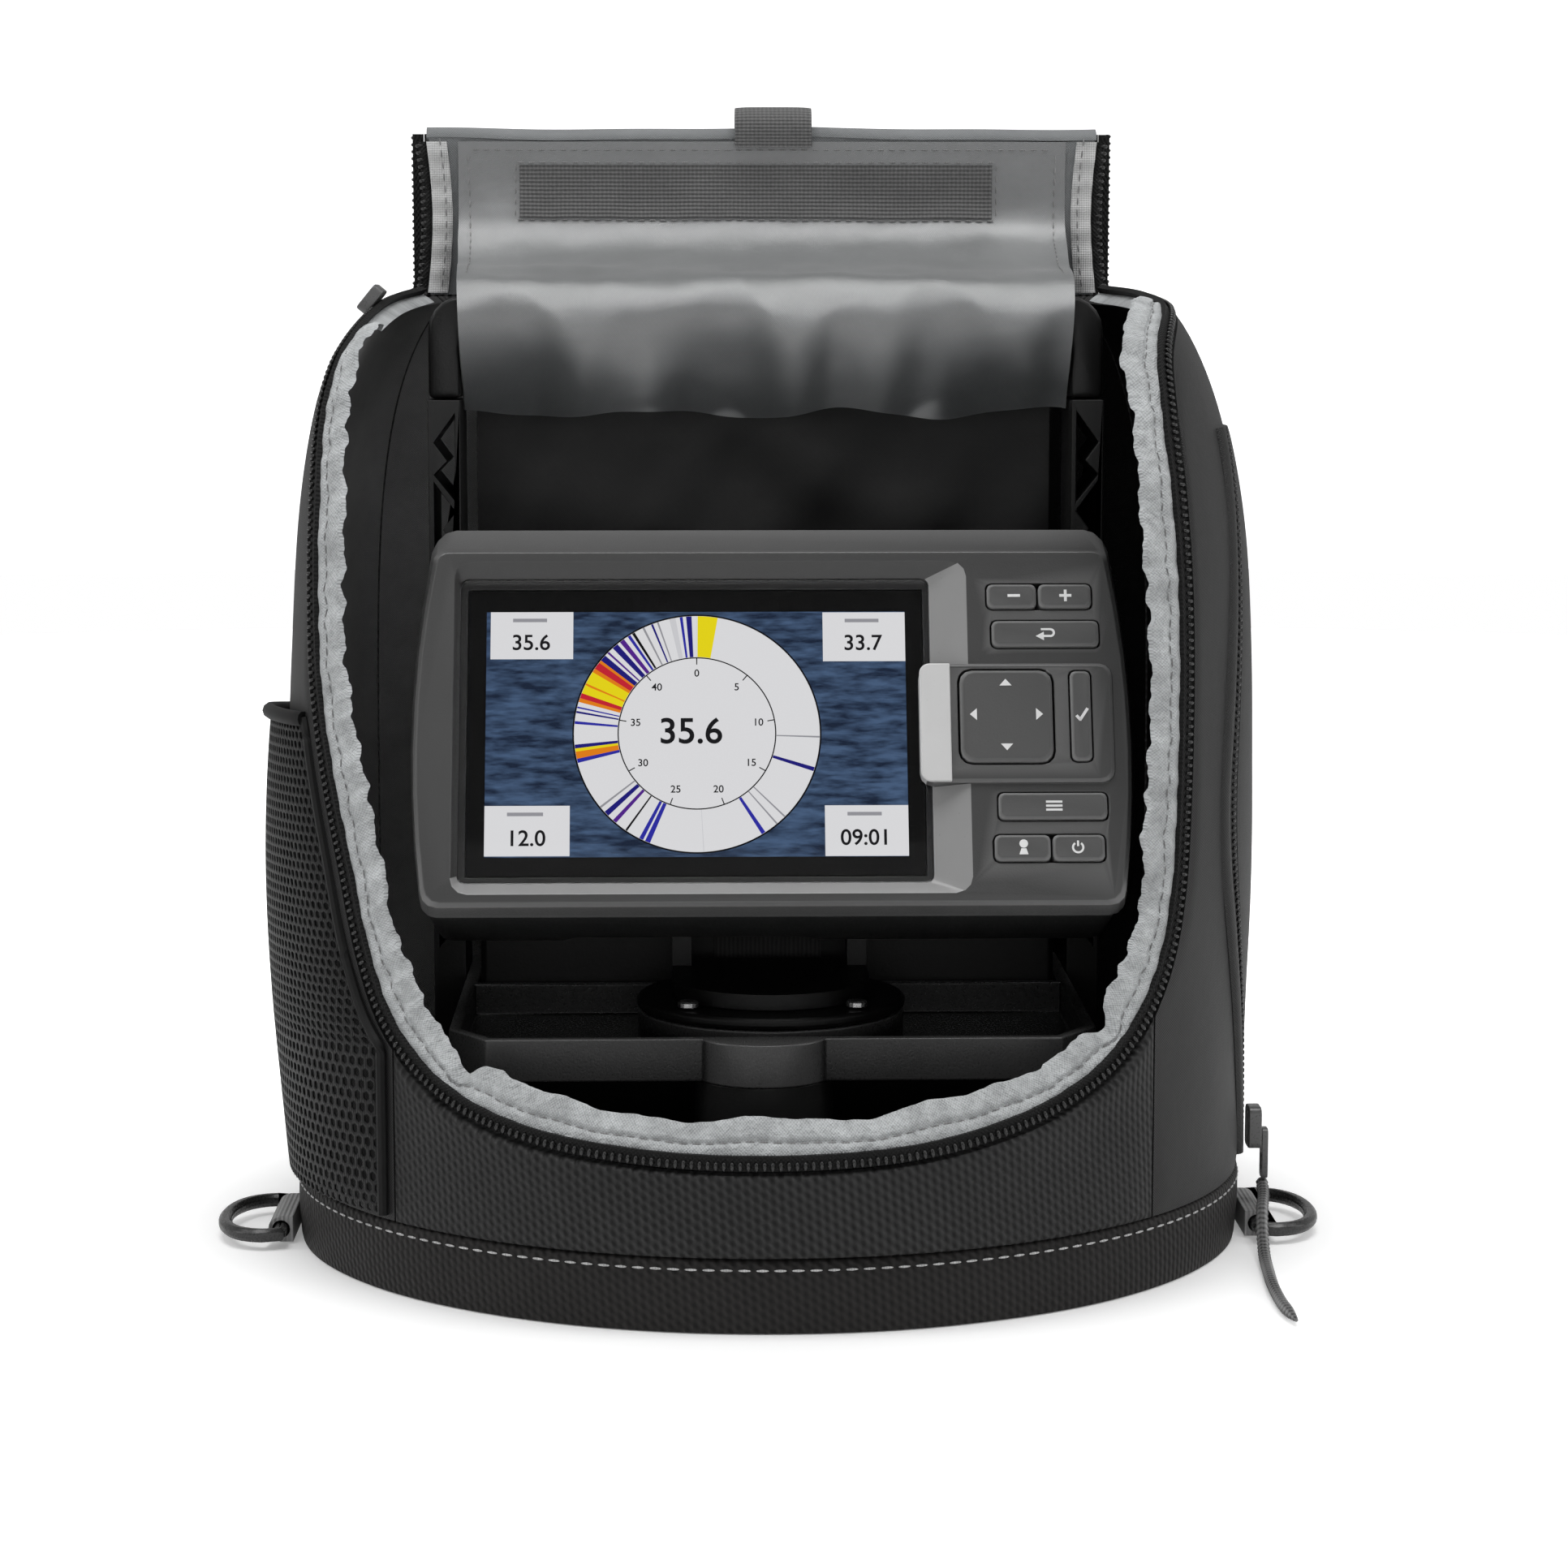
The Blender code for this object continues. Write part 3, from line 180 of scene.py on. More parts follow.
print("quads in a 3 x 3 grid:", len(grid_quads(3, 3)))

# %% [markdown]
# Stitches and zipper teeth repeat hundreds of times, so each is one small egg-shaped solid of
# thirty faces. The same template is placed by arrays of centres and directions, which gives
# real thread and real teeth without a heavy mesh.

# %% Repeated small solids: stitches and teeth
def small_solids(name, centres, along, outwards, sizes, finish):
    """One closed egg at each centre; sizes are its half lengths along, sideways and outwards."""
    along = along / np.linalg.norm(along, axis=1, keepdims=True)
    sideways = np.cross(outwards, along)
    sideways /= np.linalg.norm(sideways, axis=1, keepdims=True)
    lift = np.cross(along, sideways)
    rise = np.array([-0.78, 0.0, 0.78])
    turn = np.linspace(0, 2 * np.pi, 6, endpoint=False)
    round_part = np.sqrt(1 - rise ** 2)[:, None]
    rings = np.stack([np.broadcast_to(rise[:, None], (3, 6)), round_part * np.cos(turn),
                      round_part * np.sin(turn)], -1).reshape(-1, 3)
    egg = np.vstack([rings, [[-1, 0, 0], [1, 0, 0]]]) * sizes
    axes = np.stack([along, sideways, lift], 1)
    points = (centres[:, None] + np.einsum("pk,nkc->npc", egg, axes)).reshape(-1, 3)
    k = np.arange(6)
    caps = np.vstack([np.stack([np.full(6, 18), (k + 1) % 6, k], 1),
                      np.stack([np.full(6, 19), 12 + k, 12 + (k + 1) % 6], 1)])
    quads = grid_quads(3, 6, wrap_columns=True)
    steps = np.arange(len(centres))[:, None, None] * len(egg)
    faces = (quads[None] + steps).reshape(-1, 4).tolist() + (caps[None] + steps).reshape(-1, 3).tolist()
    return face_outwards(put_mesh(name, points, faces, finish), 80)


def evenly(points, pitch, *others):
    """Read a path, and anything given along it, at even steps of the pitch in millimetres."""
    length = np.concatenate([[0], np.cumsum(np.linalg.norm(np.diff(points, axis=0), axis=1))])
    wanted = np.arange(pitch / 2, length[-1], pitch)
    return [np.stack([np.interp(wanted, length, v[:, k]) for k in range(v.shape[1])], 1)
            for v in (points, *others)]


def stitch_row(name, points, outwards, finish, pitch=4.2, length=3.0, thickness=0.32):
    """Running stitch along a path: one thread egg per pitch, lying along the path."""
    along = np.gradient(points, axis=0)
    centre, way, up = evenly(points, pitch, along, outwards)
    return small_solids(name, centre, way, up, (length / 2, thickness, thickness * 0.8), finish)


# %% [markdown]
# Materials come next. Effects that several finishes share are node groups: a weave made of two
# crossing waves, a slow fade as in handled cloth, the fine grain of moulded plastic, and a painted
# highlight that lightens corners. A group gives only values; each shader stays in its own material.

# %% Node helpers and shared effects
def wire(tree, target, value):
    """Put a number, a colour or another node's output into a socket."""
    if isinstance(value, bpy.types.NodeSocket):
        tree.links.new(value, target)
    else:
        target.default_value = value


def calc(tree, operation, first, second=0.0):
    node = tree.nodes.new("ShaderNodeMath")
    node.operation = operation
    wire(tree, node.inputs[0], first)
    wire(tree, node.inputs[1], second)
    return node.outputs[0]


def blend_colours(tree, share, first, second):
    node = tree.nodes.new("ShaderNodeMix")
    node.data_type = "RGBA"
    wire(tree, node.inputs["Factor"], share)
    wire(tree, node.inputs["A"], first)
    wire(tree, node.inputs["B"], second)
    return node.outputs["Result"]


def effect_group(name, inputs, outputs):
    """Empty node group with named inputs (name, kind, default) and float outputs."""
    group = bpy.data.node_groups.new(name, "ShaderNodeTree")
    for label, kind, default in inputs:
        socket = group.interface.new_socket(label, in_out="INPUT", socket_type=kind)
        if default is not None:
            socket.default_value = default
    for label in outputs:
        group.interface.new_socket(label, in_out="OUTPUT", socket_type="NodeSocketFloat")
    return group, group.nodes.new("NodeGroupInput"), group.nodes.new("NodeGroupOutput")


def build_weave():
    """Height = 0.5 + 0.5 sin(2 pi x / pitch) sin(2 pi y / (pitch times stretch)) on turned axes;
    a stretch above 1 draws the crossings out into the slanted lines of a twill."""
    group, given, result = effect_group("weave", [("Vector", "NodeSocketVector", None),
                                                  ("Pitch", "NodeSocketFloat", 0.001),
                                                  ("Turn", "NodeSocketFloat", 0.0),
                                                  ("Stretch", "NodeSocketFloat", 1.0)], ["Height"])
    turned = group.nodes.new("ShaderNodeVectorRotate")
    turned.rotation_type = "Z_AXIS"
    wire(group, turned.inputs["Vector"], given.outputs["Vector"])
    wire(group, turned.inputs["Angle"], given.outputs["Turn"])
    split = group.nodes.new("ShaderNodeSeparateXYZ")
    wire(group, split.inputs[0], turned.outputs[0])
    turns = calc(group, "DIVIDE", 2 * math.pi, given.outputs["Pitch"])
    across = calc(group, "MULTIPLY", split.outputs[0], turns)
    along = calc(group, "DIVIDE", calc(group, "MULTIPLY", split.outputs[1], turns), given.outputs["Stretch"])
    waves = [calc(group, "SINE", axis) for axis in (across, along)]
    crossed = calc(group, "MULTIPLY", *waves)
    wire(group, result.inputs["Height"], calc(group, "MULTIPLY_ADD", crossed, 0.5))
    group.nodes[-1].inputs[2].default_value = 0.5
    return group


def build_fade():
    """Two noises of different size, added and centred on one half: slow tone changes."""
    group, given, result = effect_group("handled_fade", [("Vector", "NodeSocketVector", None),
                                                         ("Size", "NodeSocketFloat", 0.03)], ["Tone"])
    total = None
    for factor, weight in ((1.0, 0.7), (5.0, 0.3)):
        noise = group.nodes.new("ShaderNodeTexNoise")
        noise.inputs["Detail"].default_value = 4.0
        wire(group, noise.inputs["Vector"], given.outputs["Vector"])
        wire(group, noise.inputs["Scale"], calc(group, "DIVIDE", factor, given.outputs["Size"]))
        part = calc(group, "MULTIPLY", noise.outputs[0], weight)
        total = part if total is None else calc(group, "ADD", total, part)
    wire(group, result.inputs["Tone"], total)
    return group


def build_grain():
    """Fine noise for a spark-eroded mould surface: a height, and the same as a roughness share."""
    group, given, result = effect_group("moulded_grain", [("Vector", "NodeSocketVector", None),
                                                          ("Size", "NodeSocketFloat", 0.0006)],
                                        ["Height", "Rough"])
    noise = group.nodes.new("ShaderNodeTexNoise")
    noise.inputs["Detail"].default_value = 3.0
    wire(group, noise.inputs["Vector"], given.outputs["Vector"])
    wire(group, noise.inputs["Scale"], calc(group, "DIVIDE", 1.0, given.outputs["Size"]))
    wire(group, result.inputs["Height"], noise.outputs[0])
    wire(group, result.inputs["Rough"], calc(group, "SUBTRACT", noise.outputs[0], 0.5))
    return group


def build_corner_highlight():
    """Mask of outer corners for a painted highlight: the surface's pointiness above a start, stretched to 0..1."""
    group, given, result = effect_group("corner_highlight", [("Start", "NodeSocketFloat", 0.52),
                                                        ("Reach", "NodeSocketFloat", 0.08)], ["Mask"])
    shape = group.nodes.new("ShaderNodeNewGeometry")
    over = calc(group, "SUBTRACT", shape.outputs["Pointiness"], given.outputs["Start"])
    share = calc(group, "DIVIDE", over, given.outputs["Reach"])
    group.nodes[-1].use_clamp = True
    wire(group, result.inputs["Mask"], share)
    return group


weave_effect, fade_effect, grain_effect, corner_highlight_effect = build_weave(), build_fade(), build_grain(), build_corner_highlight()
print("shared effects:", [g.name for g in bpy.data.node_groups])

# %% [markdown]
# Every cloth here is one recipe with its own numbers: the weave's pitch and angle, the tone of
# the threads and of the gaps, how much sheen it has, and how deep the weave is. A plastic has a
# grain and outer corners lightened by a painted highlight instead. Constant numbers sit directly
# on the shader.

# %% Cloth and plastic recipes
def start_material(name, rough):
    made = bpy.data.materials.new(name)
    made.use_nodes = True
    shader = made.node_tree.nodes["Principled BSDF"]
    shader.inputs["Roughness"].default_value = rough
    return made, made.node_tree, shader


def use_effect(tree, group, **values):
    node = tree.nodes.new("ShaderNodeGroup")
    node.node_tree = group
    for label, value in values.items():
        wire(tree, node.inputs[label], value)
    return node.outputs


def raise_surface(tree, shader, height, depth, strength=1.0):
    bump = tree.nodes.new("ShaderNodeBump")
    bump.inputs["Distance"].default_value = depth
    bump.inputs["Strength"].default_value = strength
    wire(tree, bump.inputs["Height"], height)
    wire(tree, shader.inputs["Normal"], bump.outputs["Normal"])


def grey(value, warm=0.0):
    return (value * (1 + warm), value, value * (1 - warm * 0.5), 1.0)


def cloth(name, gap, thread, pitch, turn=0.0, rough=0.8, sheen=0.15, depth=0.00025, fade=0.35,
          fade_size=0.03, mapped=True, warm=0.0, crumple=0.0, spec=0.2, stretch=1.0):
    """Woven cloth: threads and gaps differ in tone, and the tone drifts slowly over the piece.
    Crumple adds the drifting tone to the weave's height, in weave depths, as small creases."""
    made, tree, shader = start_material(name, rough)
    place = tree.nodes.new("ShaderNodeTexCoord").outputs["UV" if mapped else "Object"]
    weave = use_effect(tree, weave_effect, Vector=place, Pitch=pitch, Turn=turn,
                       Stretch=stretch)["Height"]
    tone = use_effect(tree, fade_effect, Vector=place, Size=fade_size)["Tone"]
    colour = blend_colours(tree, weave, grey(gap, warm), grey(thread, warm))
    light = calc(tree, "MULTIPLY_ADD", calc(tree, "SUBTRACT", tone, 0.5), 2.0 * fade)
    tree.nodes[-1].inputs[2].default_value = 1.0
    scale = tree.nodes.new("ShaderNodeVectorMath")
    scale.operation = "SCALE"
    wire(tree, scale.inputs[0], colour)
    wire(tree, scale.inputs["Scale"], light)
    wire(tree, shader.inputs["Base Color"], scale.outputs[0])
    shader.inputs["Sheen Weight"].default_value = sheen
    shader.inputs["Sheen Roughness"].default_value = 0.45
    shader.inputs["Specular IOR Level"].default_value = spec
    height = calc(tree, "MULTIPLY_ADD", tone, crumple)
    wire(tree, tree.nodes[-1].inputs[2], weave)
    raise_surface(tree, shader, height, depth)
    return made


def plastic(name, tone, rough, grain=0.0006, depth=0.00004, highlight=0.0, highlight_tone=0.3, spec=0.5, warm=0.0):
    """Moulded plastic: grain in the surface and its gloss, and outer corners lightened by a painted highlight."""
    made, tree, shader = start_material(name, rough)
    place = tree.nodes.new("ShaderNodeTexCoord").outputs["Object"]
    marks = use_effect(tree, grain_effect, Vector=place, Size=grain)
    drift = use_effect(tree, fade_effect, Vector=place, Size=0.05)["Tone"]
    colour = blend_colours(tree, drift, grey(tone * 0.86, warm), grey(tone * 1.14, warm))
    # Painted highlight: outer corners are lightened towards a pale tone, in place of light catching the edges.
    if highlight:
        corners = use_effect(tree, corner_highlight_effect, Start=0.515, Reach=0.09)["Mask"]
        colour = blend_colours(tree, calc(tree, "MULTIPLY", corners, highlight), colour, grey(highlight_tone))
    wire(tree, shader.inputs["Base Color"], colour)
    uneven = calc(tree, "MULTIPLY_ADD", marks["Rough"], 0.25)
    tree.nodes[-1].inputs[2].default_value = rough
    wire(tree, shader.inputs["Roughness"], uneven)
    shader.inputs["Specular IOR Level"].default_value = spec
    raise_surface(tree, shader, marks["Height"], depth)
    return made


def paint_node(node, finish):
    """Give a carried-over frame piece its finish."""
    mesh = frame["nodes"][node].data
    mesh.materials.clear()
    mesh.materials.append(finish)


bag_dobby = cloth("bag_dobby", 0.004, 0.034, 0.0021, math.radians(-28), 0.55, 0.02, 0.0006, stretch=2.2)
band_dobby = cloth("band_dobby", 0.004, 0.020, 0.0021, math.radians(-28), 0.6, 0.02, 0.0005, warm=0.08, stretch=2.2)
side_nylon = cloth("side_nylon", 0.007, 0.013, 0.0007, 0.0, 0.5, 0.02, 0.0001, 0.3, 0.02, crumple=4.0, spec=0.35)
inner_lining = cloth("inner_lining", 0.20, 0.28, 0.0006, 0.0, 0.7, 0.1, 0.0001)
# Near-black lining for the insides: painted shade for the inside of the bag.
painted_shade_lining = cloth("painted_shade_lining", 0.004, 0.007, 0.0006, 0.0, 0.7, 0.02, 0.0001)
facing_cloth = cloth("facing_cloth", 0.36, 0.52, 0.0008, 0.0, 0.8, 0.1, 0.00015, 0.75, 0.006, warm=-0.03, crumple=20.0)
lid_lining = cloth("lid_lining", 0.17, 0.23, 0.0007, 0.0, 0.7, 0.15, 0.0001, 0.3, warm=-0.04)
binding_tape = cloth("binding_tape", 0.42, 0.58, 0.0009, math.radians(45), 0.75, 0.15, 0.00015, 0.4, 0.01)
flap_satin = cloth("flap_satin", 0.080, 0.120, 0.0005, 0.0, 0.34, 0.3, 0.00006, 0.35, 0.02, warm=-0.06,
                   crumple=4.0, spec=0.95)
grey_webbing = cloth("grey_webbing", 0.09, 0.16, 0.0016, math.radians(45), 0.75, 0.1, 0.0004, 0.2)
pale_webbing = cloth("pale_webbing", 0.22, 0.40, 0.0016, math.radians(45), 0.75, 0.1, 0.0004, 0.2)
zip_tape = cloth("zip_tape", 0.004, 0.008, 0.0011, 0.0, 0.6, 0.02, 0.0002)
net_cord = cloth("net_cord", 0.005, 0.010, 0.0008, math.radians(45), 0.45, 0.02, 0.0001, mapped=False)
pale_thread = cloth("pale_thread", 0.30, 0.55, 0.0009, math.radians(45), 0.7, 0.2, 0.0001, mapped=False)
dark_thread = cloth("dark_thread", 0.02, 0.05, 0.0009, math.radians(45), 0.6, 0.1, 0.0001, mapped=False)
grey_thread = cloth("grey_thread", 0.16, 0.28, 0.0009, math.radians(45), 0.7, 0.2, 0.0001, mapped=False)
coil_nylon = plastic("coil_nylon", 0.010, 0.28, depth=0.00001)
# For the plastics below, the highlight amount and its tone paint lighter outer corners as highlights.
frame_nylon = plastic("frame_nylon", 0.005, 0.38, highlight=0.35, highlight_tone=0.05, spec=0.3)
mount_nylon = plastic("mount_nylon", 0.003, 0.45, spec=0.25)
shelf_nylon = plastic("shelf_nylon", 0.010, 0.30, highlight=0.7, highlight_tone=0.14, spec=0.4)
unit_shell = plastic("unit_shell", 0.044, 0.36, 0.0005, 0.00005, highlight=0.85, highlight_tone=0.5)
unit_back = plastic("unit_back", 0.022, 0.42, highlight=0.4, highlight_tone=0.08)
# Pale tone for the left end of the key block: a painted highlight where light falls on that chamfer.
chamfer_highlight = plastic("chamfer_highlight", 0.55, 0.33, 0.0008, 0.00001, highlight=0.3, highlight_tone=0.55)
# Lighter tone for the bezel's sloped seat faces that point up or left: a painted highlight.
slope_highlight = plastic("slope_highlight", 0.24, 0.33, 0.0008, 0.00001, highlight=0.3, highlight_tone=0.5)
key_rubber = plastic("key_rubber", 0.028, 0.5, highlight=0.95, highlight_tone=0.42)
ring_plastic = plastic("ring_plastic", 0.018, 0.28, highlight=0.5, highlight_tone=0.10)
painted_metal = plastic("painted_metal", 0.035, 0.3, highlight=0.7, highlight_tone=0.2)
battery_plastic = plastic("battery_plastic", 0.004, 0.4, highlight=0.3, highlight_tone=0.03, spec=0.2)
print("finishes so far:", len(bpy.data.materials))

# %% [markdown]
# The short cord on the side zipper's pull is the only free cord. It hangs from the pull, comes
# down over the webbing tab and lies forward on the floor, where its tip is flattened. It is a
# tube along the same route as the frame's cord, with a braid that rises where the two sets of
# strands cross.

# %% Curves through points, and the pull cord
def through_points(points, count):
    """Catmull-Rom curve through the points, read at even steps along its length."""
    points = np.array(points, float)
    ends = np.vstack([2 * points[0] - points[1], points, 2 * points[-1] - points[-2]])
    t = np.linspace(0, 1, 24, endpoint=False)[:, None]
    runs = [0.5 * (2 * b + (c - a) * t + (2 * a - 5 * b + 4 * c - d) * t ** 2
                   + (3 * b - a - 3 * c + d) * t ** 3)
            for a, b, c, d in zip(ends[:-3], ends[1:-2], ends[2:-1], ends[3:])]
    fine = np.vstack(runs + [points[-1:]])
    length = np.concatenate([[0], np.cumsum(np.linalg.norm(np.diff(fine, axis=0), axis=1))])
    wanted = np.linspace(0, length[-1], count)
    return np.stack([np.interp(wanted, length, fine[:, k]) for k in range(fine.shape[1])], 1)


CORD_ROUTE = [(128.4, -1.5, 12.0), (128.2, -4.5, 11.0), (127.6, -9.5, 10.2), (126.6, -15.0, 9.8),
              (125.6, -20.5, 8.9), (124.8, -26.0, 6.2), (124.2, -32.0, 3.4), (123.4, -40.0, 1.9),
              (122.4, -52.0, 1.7), (121.4, -66.0, 1.7), (121.2, -82.0, 1.7), (122.2, -96.0, 1.7)]


def braided_cord(route, radius, finish, sides=16, rings=260):
    """Tube whose radius is r (1 + 0.12 sin(3a + ks) sin(3a - ks)), narrowing over its last part."""
    path = through_points(route, rings)
    along = np.gradient(path, axis=0)
    along /= np.linalg.norm(along, axis=1, keepdims=True)
    side = np.cross(along, [1.0, 0, 0])
    side /= np.linalg.norm(side, axis=1, keepdims=True)
    rise = np.cross(side, along)
    share = np.linspace(0, 1, rings)[:, None]
    turn = np.linspace(0, 2 * np.pi, sides, endpoint=False)[None, :]
    braid = 1 + 0.12 * np.sin(3 * turn + 150 * share) * np.sin(3 * turn - 150 * share)
    taper = 1 - 0.7 * np.clip((share - 0.9) / 0.1, 0, 1) ** 1.5
    reach = (radius * braid * taper)[..., None]
    points = path[:, None] + reach * (np.cos(turn)[..., None] * side[:, None]
                                      + np.sin(turn)[..., None] * rise[:, None])
    faces = grid_quads(rings, sides, wrap_columns=True).tolist()
    faces += [list(range(sides)), list(range((rings - 1) * sides, rings * sides))]
    around = np.broadcast_to(turn / (2 * np.pi) * 0.009, (rings, sides))
    cloth_map = np.stack([around, np.broadcast_to(share * 0.108, (rings, sides))], -1)
    made = put_mesh("pull_cord", points.reshape(-1, 3), faces, finish, cloth_map.reshape(-1, 2))
    return face_outwards(made, 70), path


cord_braid = cloth("cord_braid", 0.02, 0.30, 0.0030, math.radians(45), 0.7, 0.1, 0.0002, 0.3)
pull_cord, cord_path = braided_cord(CORD_ROUTE, 1.45, cord_braid)
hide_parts("side_pull_cord")
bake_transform(pull_cord)

# %% [markdown]
# The bag is a sewn shell. Its skin is one formula: an oval plan that is squarer behind, shrinking
# towards the crown. Each sewn panel is a part of that skin, so neighbours meet along the same
# seam lines as the pattern pieces of a real bag.

# %% The bag's skin
def bag_point(angle, z, inset=0.0):
    """Skin point at an angle from the front, in degrees, and a height: an oval plan that is a
    superellipse of power 6 behind, with the width and the depth closing towards the crown."""
    angle, z, inset = np.broadcast_arrays(np.radians(angle), np.asarray(z, float), inset)
    widen = np.clip((z - 60.0) / (200.0 - inset), 0, 0.999)
    deepen = np.clip((z - 60.0) / (192.0 - inset), 0, 0.999)
    half_width = (122.0 - inset) * (1 - widen ** 5.3) ** (1 / 4.5)
    front = (110.0 - inset) * (1 - deepen ** 3.5) ** 0.4
    ahead = np.cos(angle) >= 0
    depth = np.where(ahead, front, 82.0 - inset)
    power = np.where(ahead, 2.0, 6.0)
    reach = (np.abs(np.sin(angle)) ** power + np.abs(np.cos(angle)) ** power) ** (-1 / power)
    return np.stack([half_width * np.sin(angle) * reach, 10.0 - depth * np.cos(angle) * reach, z], -1)


def bag_normal(angle, z):
    """Outward direction: the skin's run round crossed with its rise."""
    normal = np.cross(bag_point(angle + 0.5, z) - bag_point(angle - 0.5, z),
                      bag_point(angle, z + 0.5) - bag_point(angle, z - 0.5))
    return normal / np.linalg.norm(normal, axis=-1, keepdims=True)


def skin(angle, z, out=0.0):
    return bag_point(angle, z) + bag_normal(angle, z) * np.asarray(out, float)[..., None]


LEFT_EDGE = [(-135, 241), (-112, 236.5), (-97, 230), (-88, 222), (-82, 212)]
FRONT_EDGE = [(-75.5, 194), (-72.5, 172), (-70, 146), (-66, 125), (-61, 103), (-56.5, 81), (-51, 64),
              (-42, 50.5), (-30, 42.5), (-15, 38.8), (0, 38), (15, 39.4), (27, 43.8), (36, 49.6),
              (43.5, 57.6), (49.5, 69), (53.5, 82), (55.8, 98), (56.8, 118), (57.5, 145),
              (57.9, 170), (58.3, 192)]
RIGHT_EDGE = [(59.7, 211), (65, 226), (78, 234.5), (100, 238.5), (135, 241)]
SEAM, CORNER, BAND_TOP, BAG_TOP, WALL = 49.0, 135.0, 18.0, 241.0, 3.5


def opening_edge(count):
    """(angle, height) along the zipped opening, from the left rear corner to the right one."""
    return through_points(LEFT_EDGE + FRONT_EDGE + RIGHT_EDGE, count)


def soft_waves(a, b, size, seed):
    """Gentle cloth undulation between -1 and 1: five crossed sine waves of unlike directions."""
    total = 0.0
    for k in range(5):
        way = seed * 1.7 + k * 2.4
        total = total + np.sin((a * np.cos(way) + b * np.sin(way)) / size * (1.3 + 0.5 * k)
                               + seed * (k + 1) * 1.9) / (1 + 0.6 * k)
    return total / 2.6


def cloth_place(angle, z):
    """Cloth map of the skin in metres: run round the bag, and height."""
    return np.stack([np.radians(angle) * 0.116, np.broadcast_to(z, angle.shape) * MM], -1)


print("opening edge length in mm:", round(float(np.linalg.norm(np.diff(
    bag_point(*opening_edge(400).T), axis=0), axis=1).sum())))

# %% [markdown]
# The front panel runs between the two front seams, from the base band up to the zipper. Its
# padded cloth is drawn in at the seams and bellies out between them, with low folds that climb
# towards the zipper's corners.

# %% Front panel
def seam_height(side):
    path = opening_edge(400)
    return float(path[np.argmin(np.abs(path[:, 0] - side * SEAM)), 1])


def puff(share_across, share_up, edge=0.06):
    """How far padding stands out: 0 at the four seams, rising quickly to 1."""
    rise = [np.clip(np.minimum(s, 1 - s) / edge, 0, 1) for s in (share_across, share_up)]
    return np.sin(rise[0] * np.pi / 2) ** 0.7 * np.sin(rise[1] * np.pi / 2) ** 0.7


def front_panel():
    limit = SEAM - 0.14
    path = opening_edge(700)
    inside = path[np.abs(path[:, 0]) < limit - 0.3]
    top = np.vstack([[(-limit, seam_height(-1))], inside, [(limit, seam_height(1))]])
    up = np.linspace(0, 1, 46)[:, None]
    height = BAND_TOP + 0.3 + (top[:, 1] - BAND_TOP - 0.3) * up
    angle = np.broadcast_to(top[:, 0], height.shape)
    across = (angle + limit) / (2 * limit)
    swell = puff(across, up + 0 * across, 0.05) * (0.9 + 0.7 * soft_waves(angle, height * 0.8, 14.0, 1.0))
    ridge = 0.7 * np.exp(-((angle * 0.9 - (height - 30) * 0.8 - 18) / 5.0) ** 2) * up
    ridge = ridge + 0.7 * np.exp(-((angle * 0.9 + (height - 30) * 0.8 + 20) / 5.0) ** 2) * up
    out = swell + ridge * puff(across, up + 0 * across)
    # The inside faces take the near-black lining that paints shade.
    return two_sided("front_panel", skin(angle, height, out), skin(angle, height, -WALL + 0 * out), bag_dobby,
                     cloth_place(angle, height), painted_shade_lining)


bag_front = front_panel()
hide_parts("bag_front_panel")
print("front panel faces:", len(bag_front.data.polygons))

# %% [markdown]
# A side panel has four edges of different shape: the front seam and zipper, the shoulder, the
# rear corner and the base. A Coons patch fills them: two ruled surfaces added, less the flat one
# through the corners. The left inside is lined in grey, which shows through the opening; the
# right inside is near-black, a painted shade for the inside of the bag.

# %% Side and back panels
def side_edges(side, fine=60):
    """(angle, height) of a side panel's front edge, from the base to the shoulder, and its top."""
    seam = side * (SEAM + 0.14)
    path = opening_edge(400)
    path = path[::-1] if side < 0 else path
    shoulder = 205.0 if side < 0 else 210.0
    beyond = path[:, 0] * side > SEAM + 0.6
    climbing = path[beyond & (path[:, 1] < shoulder)]
    shoulders = path[beyond & (path[:, 1] >= shoulder)]
    seam_top = (seam, seam_height(side))
    front = np.vstack([through_points([(seam, BAND_TOP + 0.3), seam_top], fine // 4)[:-1],
                       through_points(np.vstack([[seam_top], climbing]), fine)])
    limit = (side * (CORNER - 0.14), BAG_TOP)
    shoulders = shoulders[shoulders[:, 0] * side < CORNER - 1.0]
    return front, through_points(np.vstack([climbing[-1:], shoulders, [limit]]), fine)


def patch(front, top, rear_angle):
    """Coons patch of (angle, height): the two ruled surfaces, less the bilinear of the corners."""
    rows, columns = len(front), len(top)
    s = np.linspace(0, 1, columns)[None, :, None]
    t = np.linspace(0, 1, rows)[:, None, None]
    low = front[0][1]
    left, upper = np.asarray(front)[:, None, :], np.asarray(top)[None, :, :]
    right = np.stack([np.full(rows, rear_angle), np.linspace(low, top[-1][1], rows)], 1)[:, None, :]
    lower = np.stack([np.linspace(front[0][0], rear_angle, columns), np.full(columns, low)], 1)[None]
    corners = ((1 - s) * (1 - t) * left[0] + s * (1 - t) * right[0]
               + (1 - s) * t * left[-1] + s * t * right[-1])
    return (1 - s) * left + s * right + (1 - t) * lower + t * upper - corners


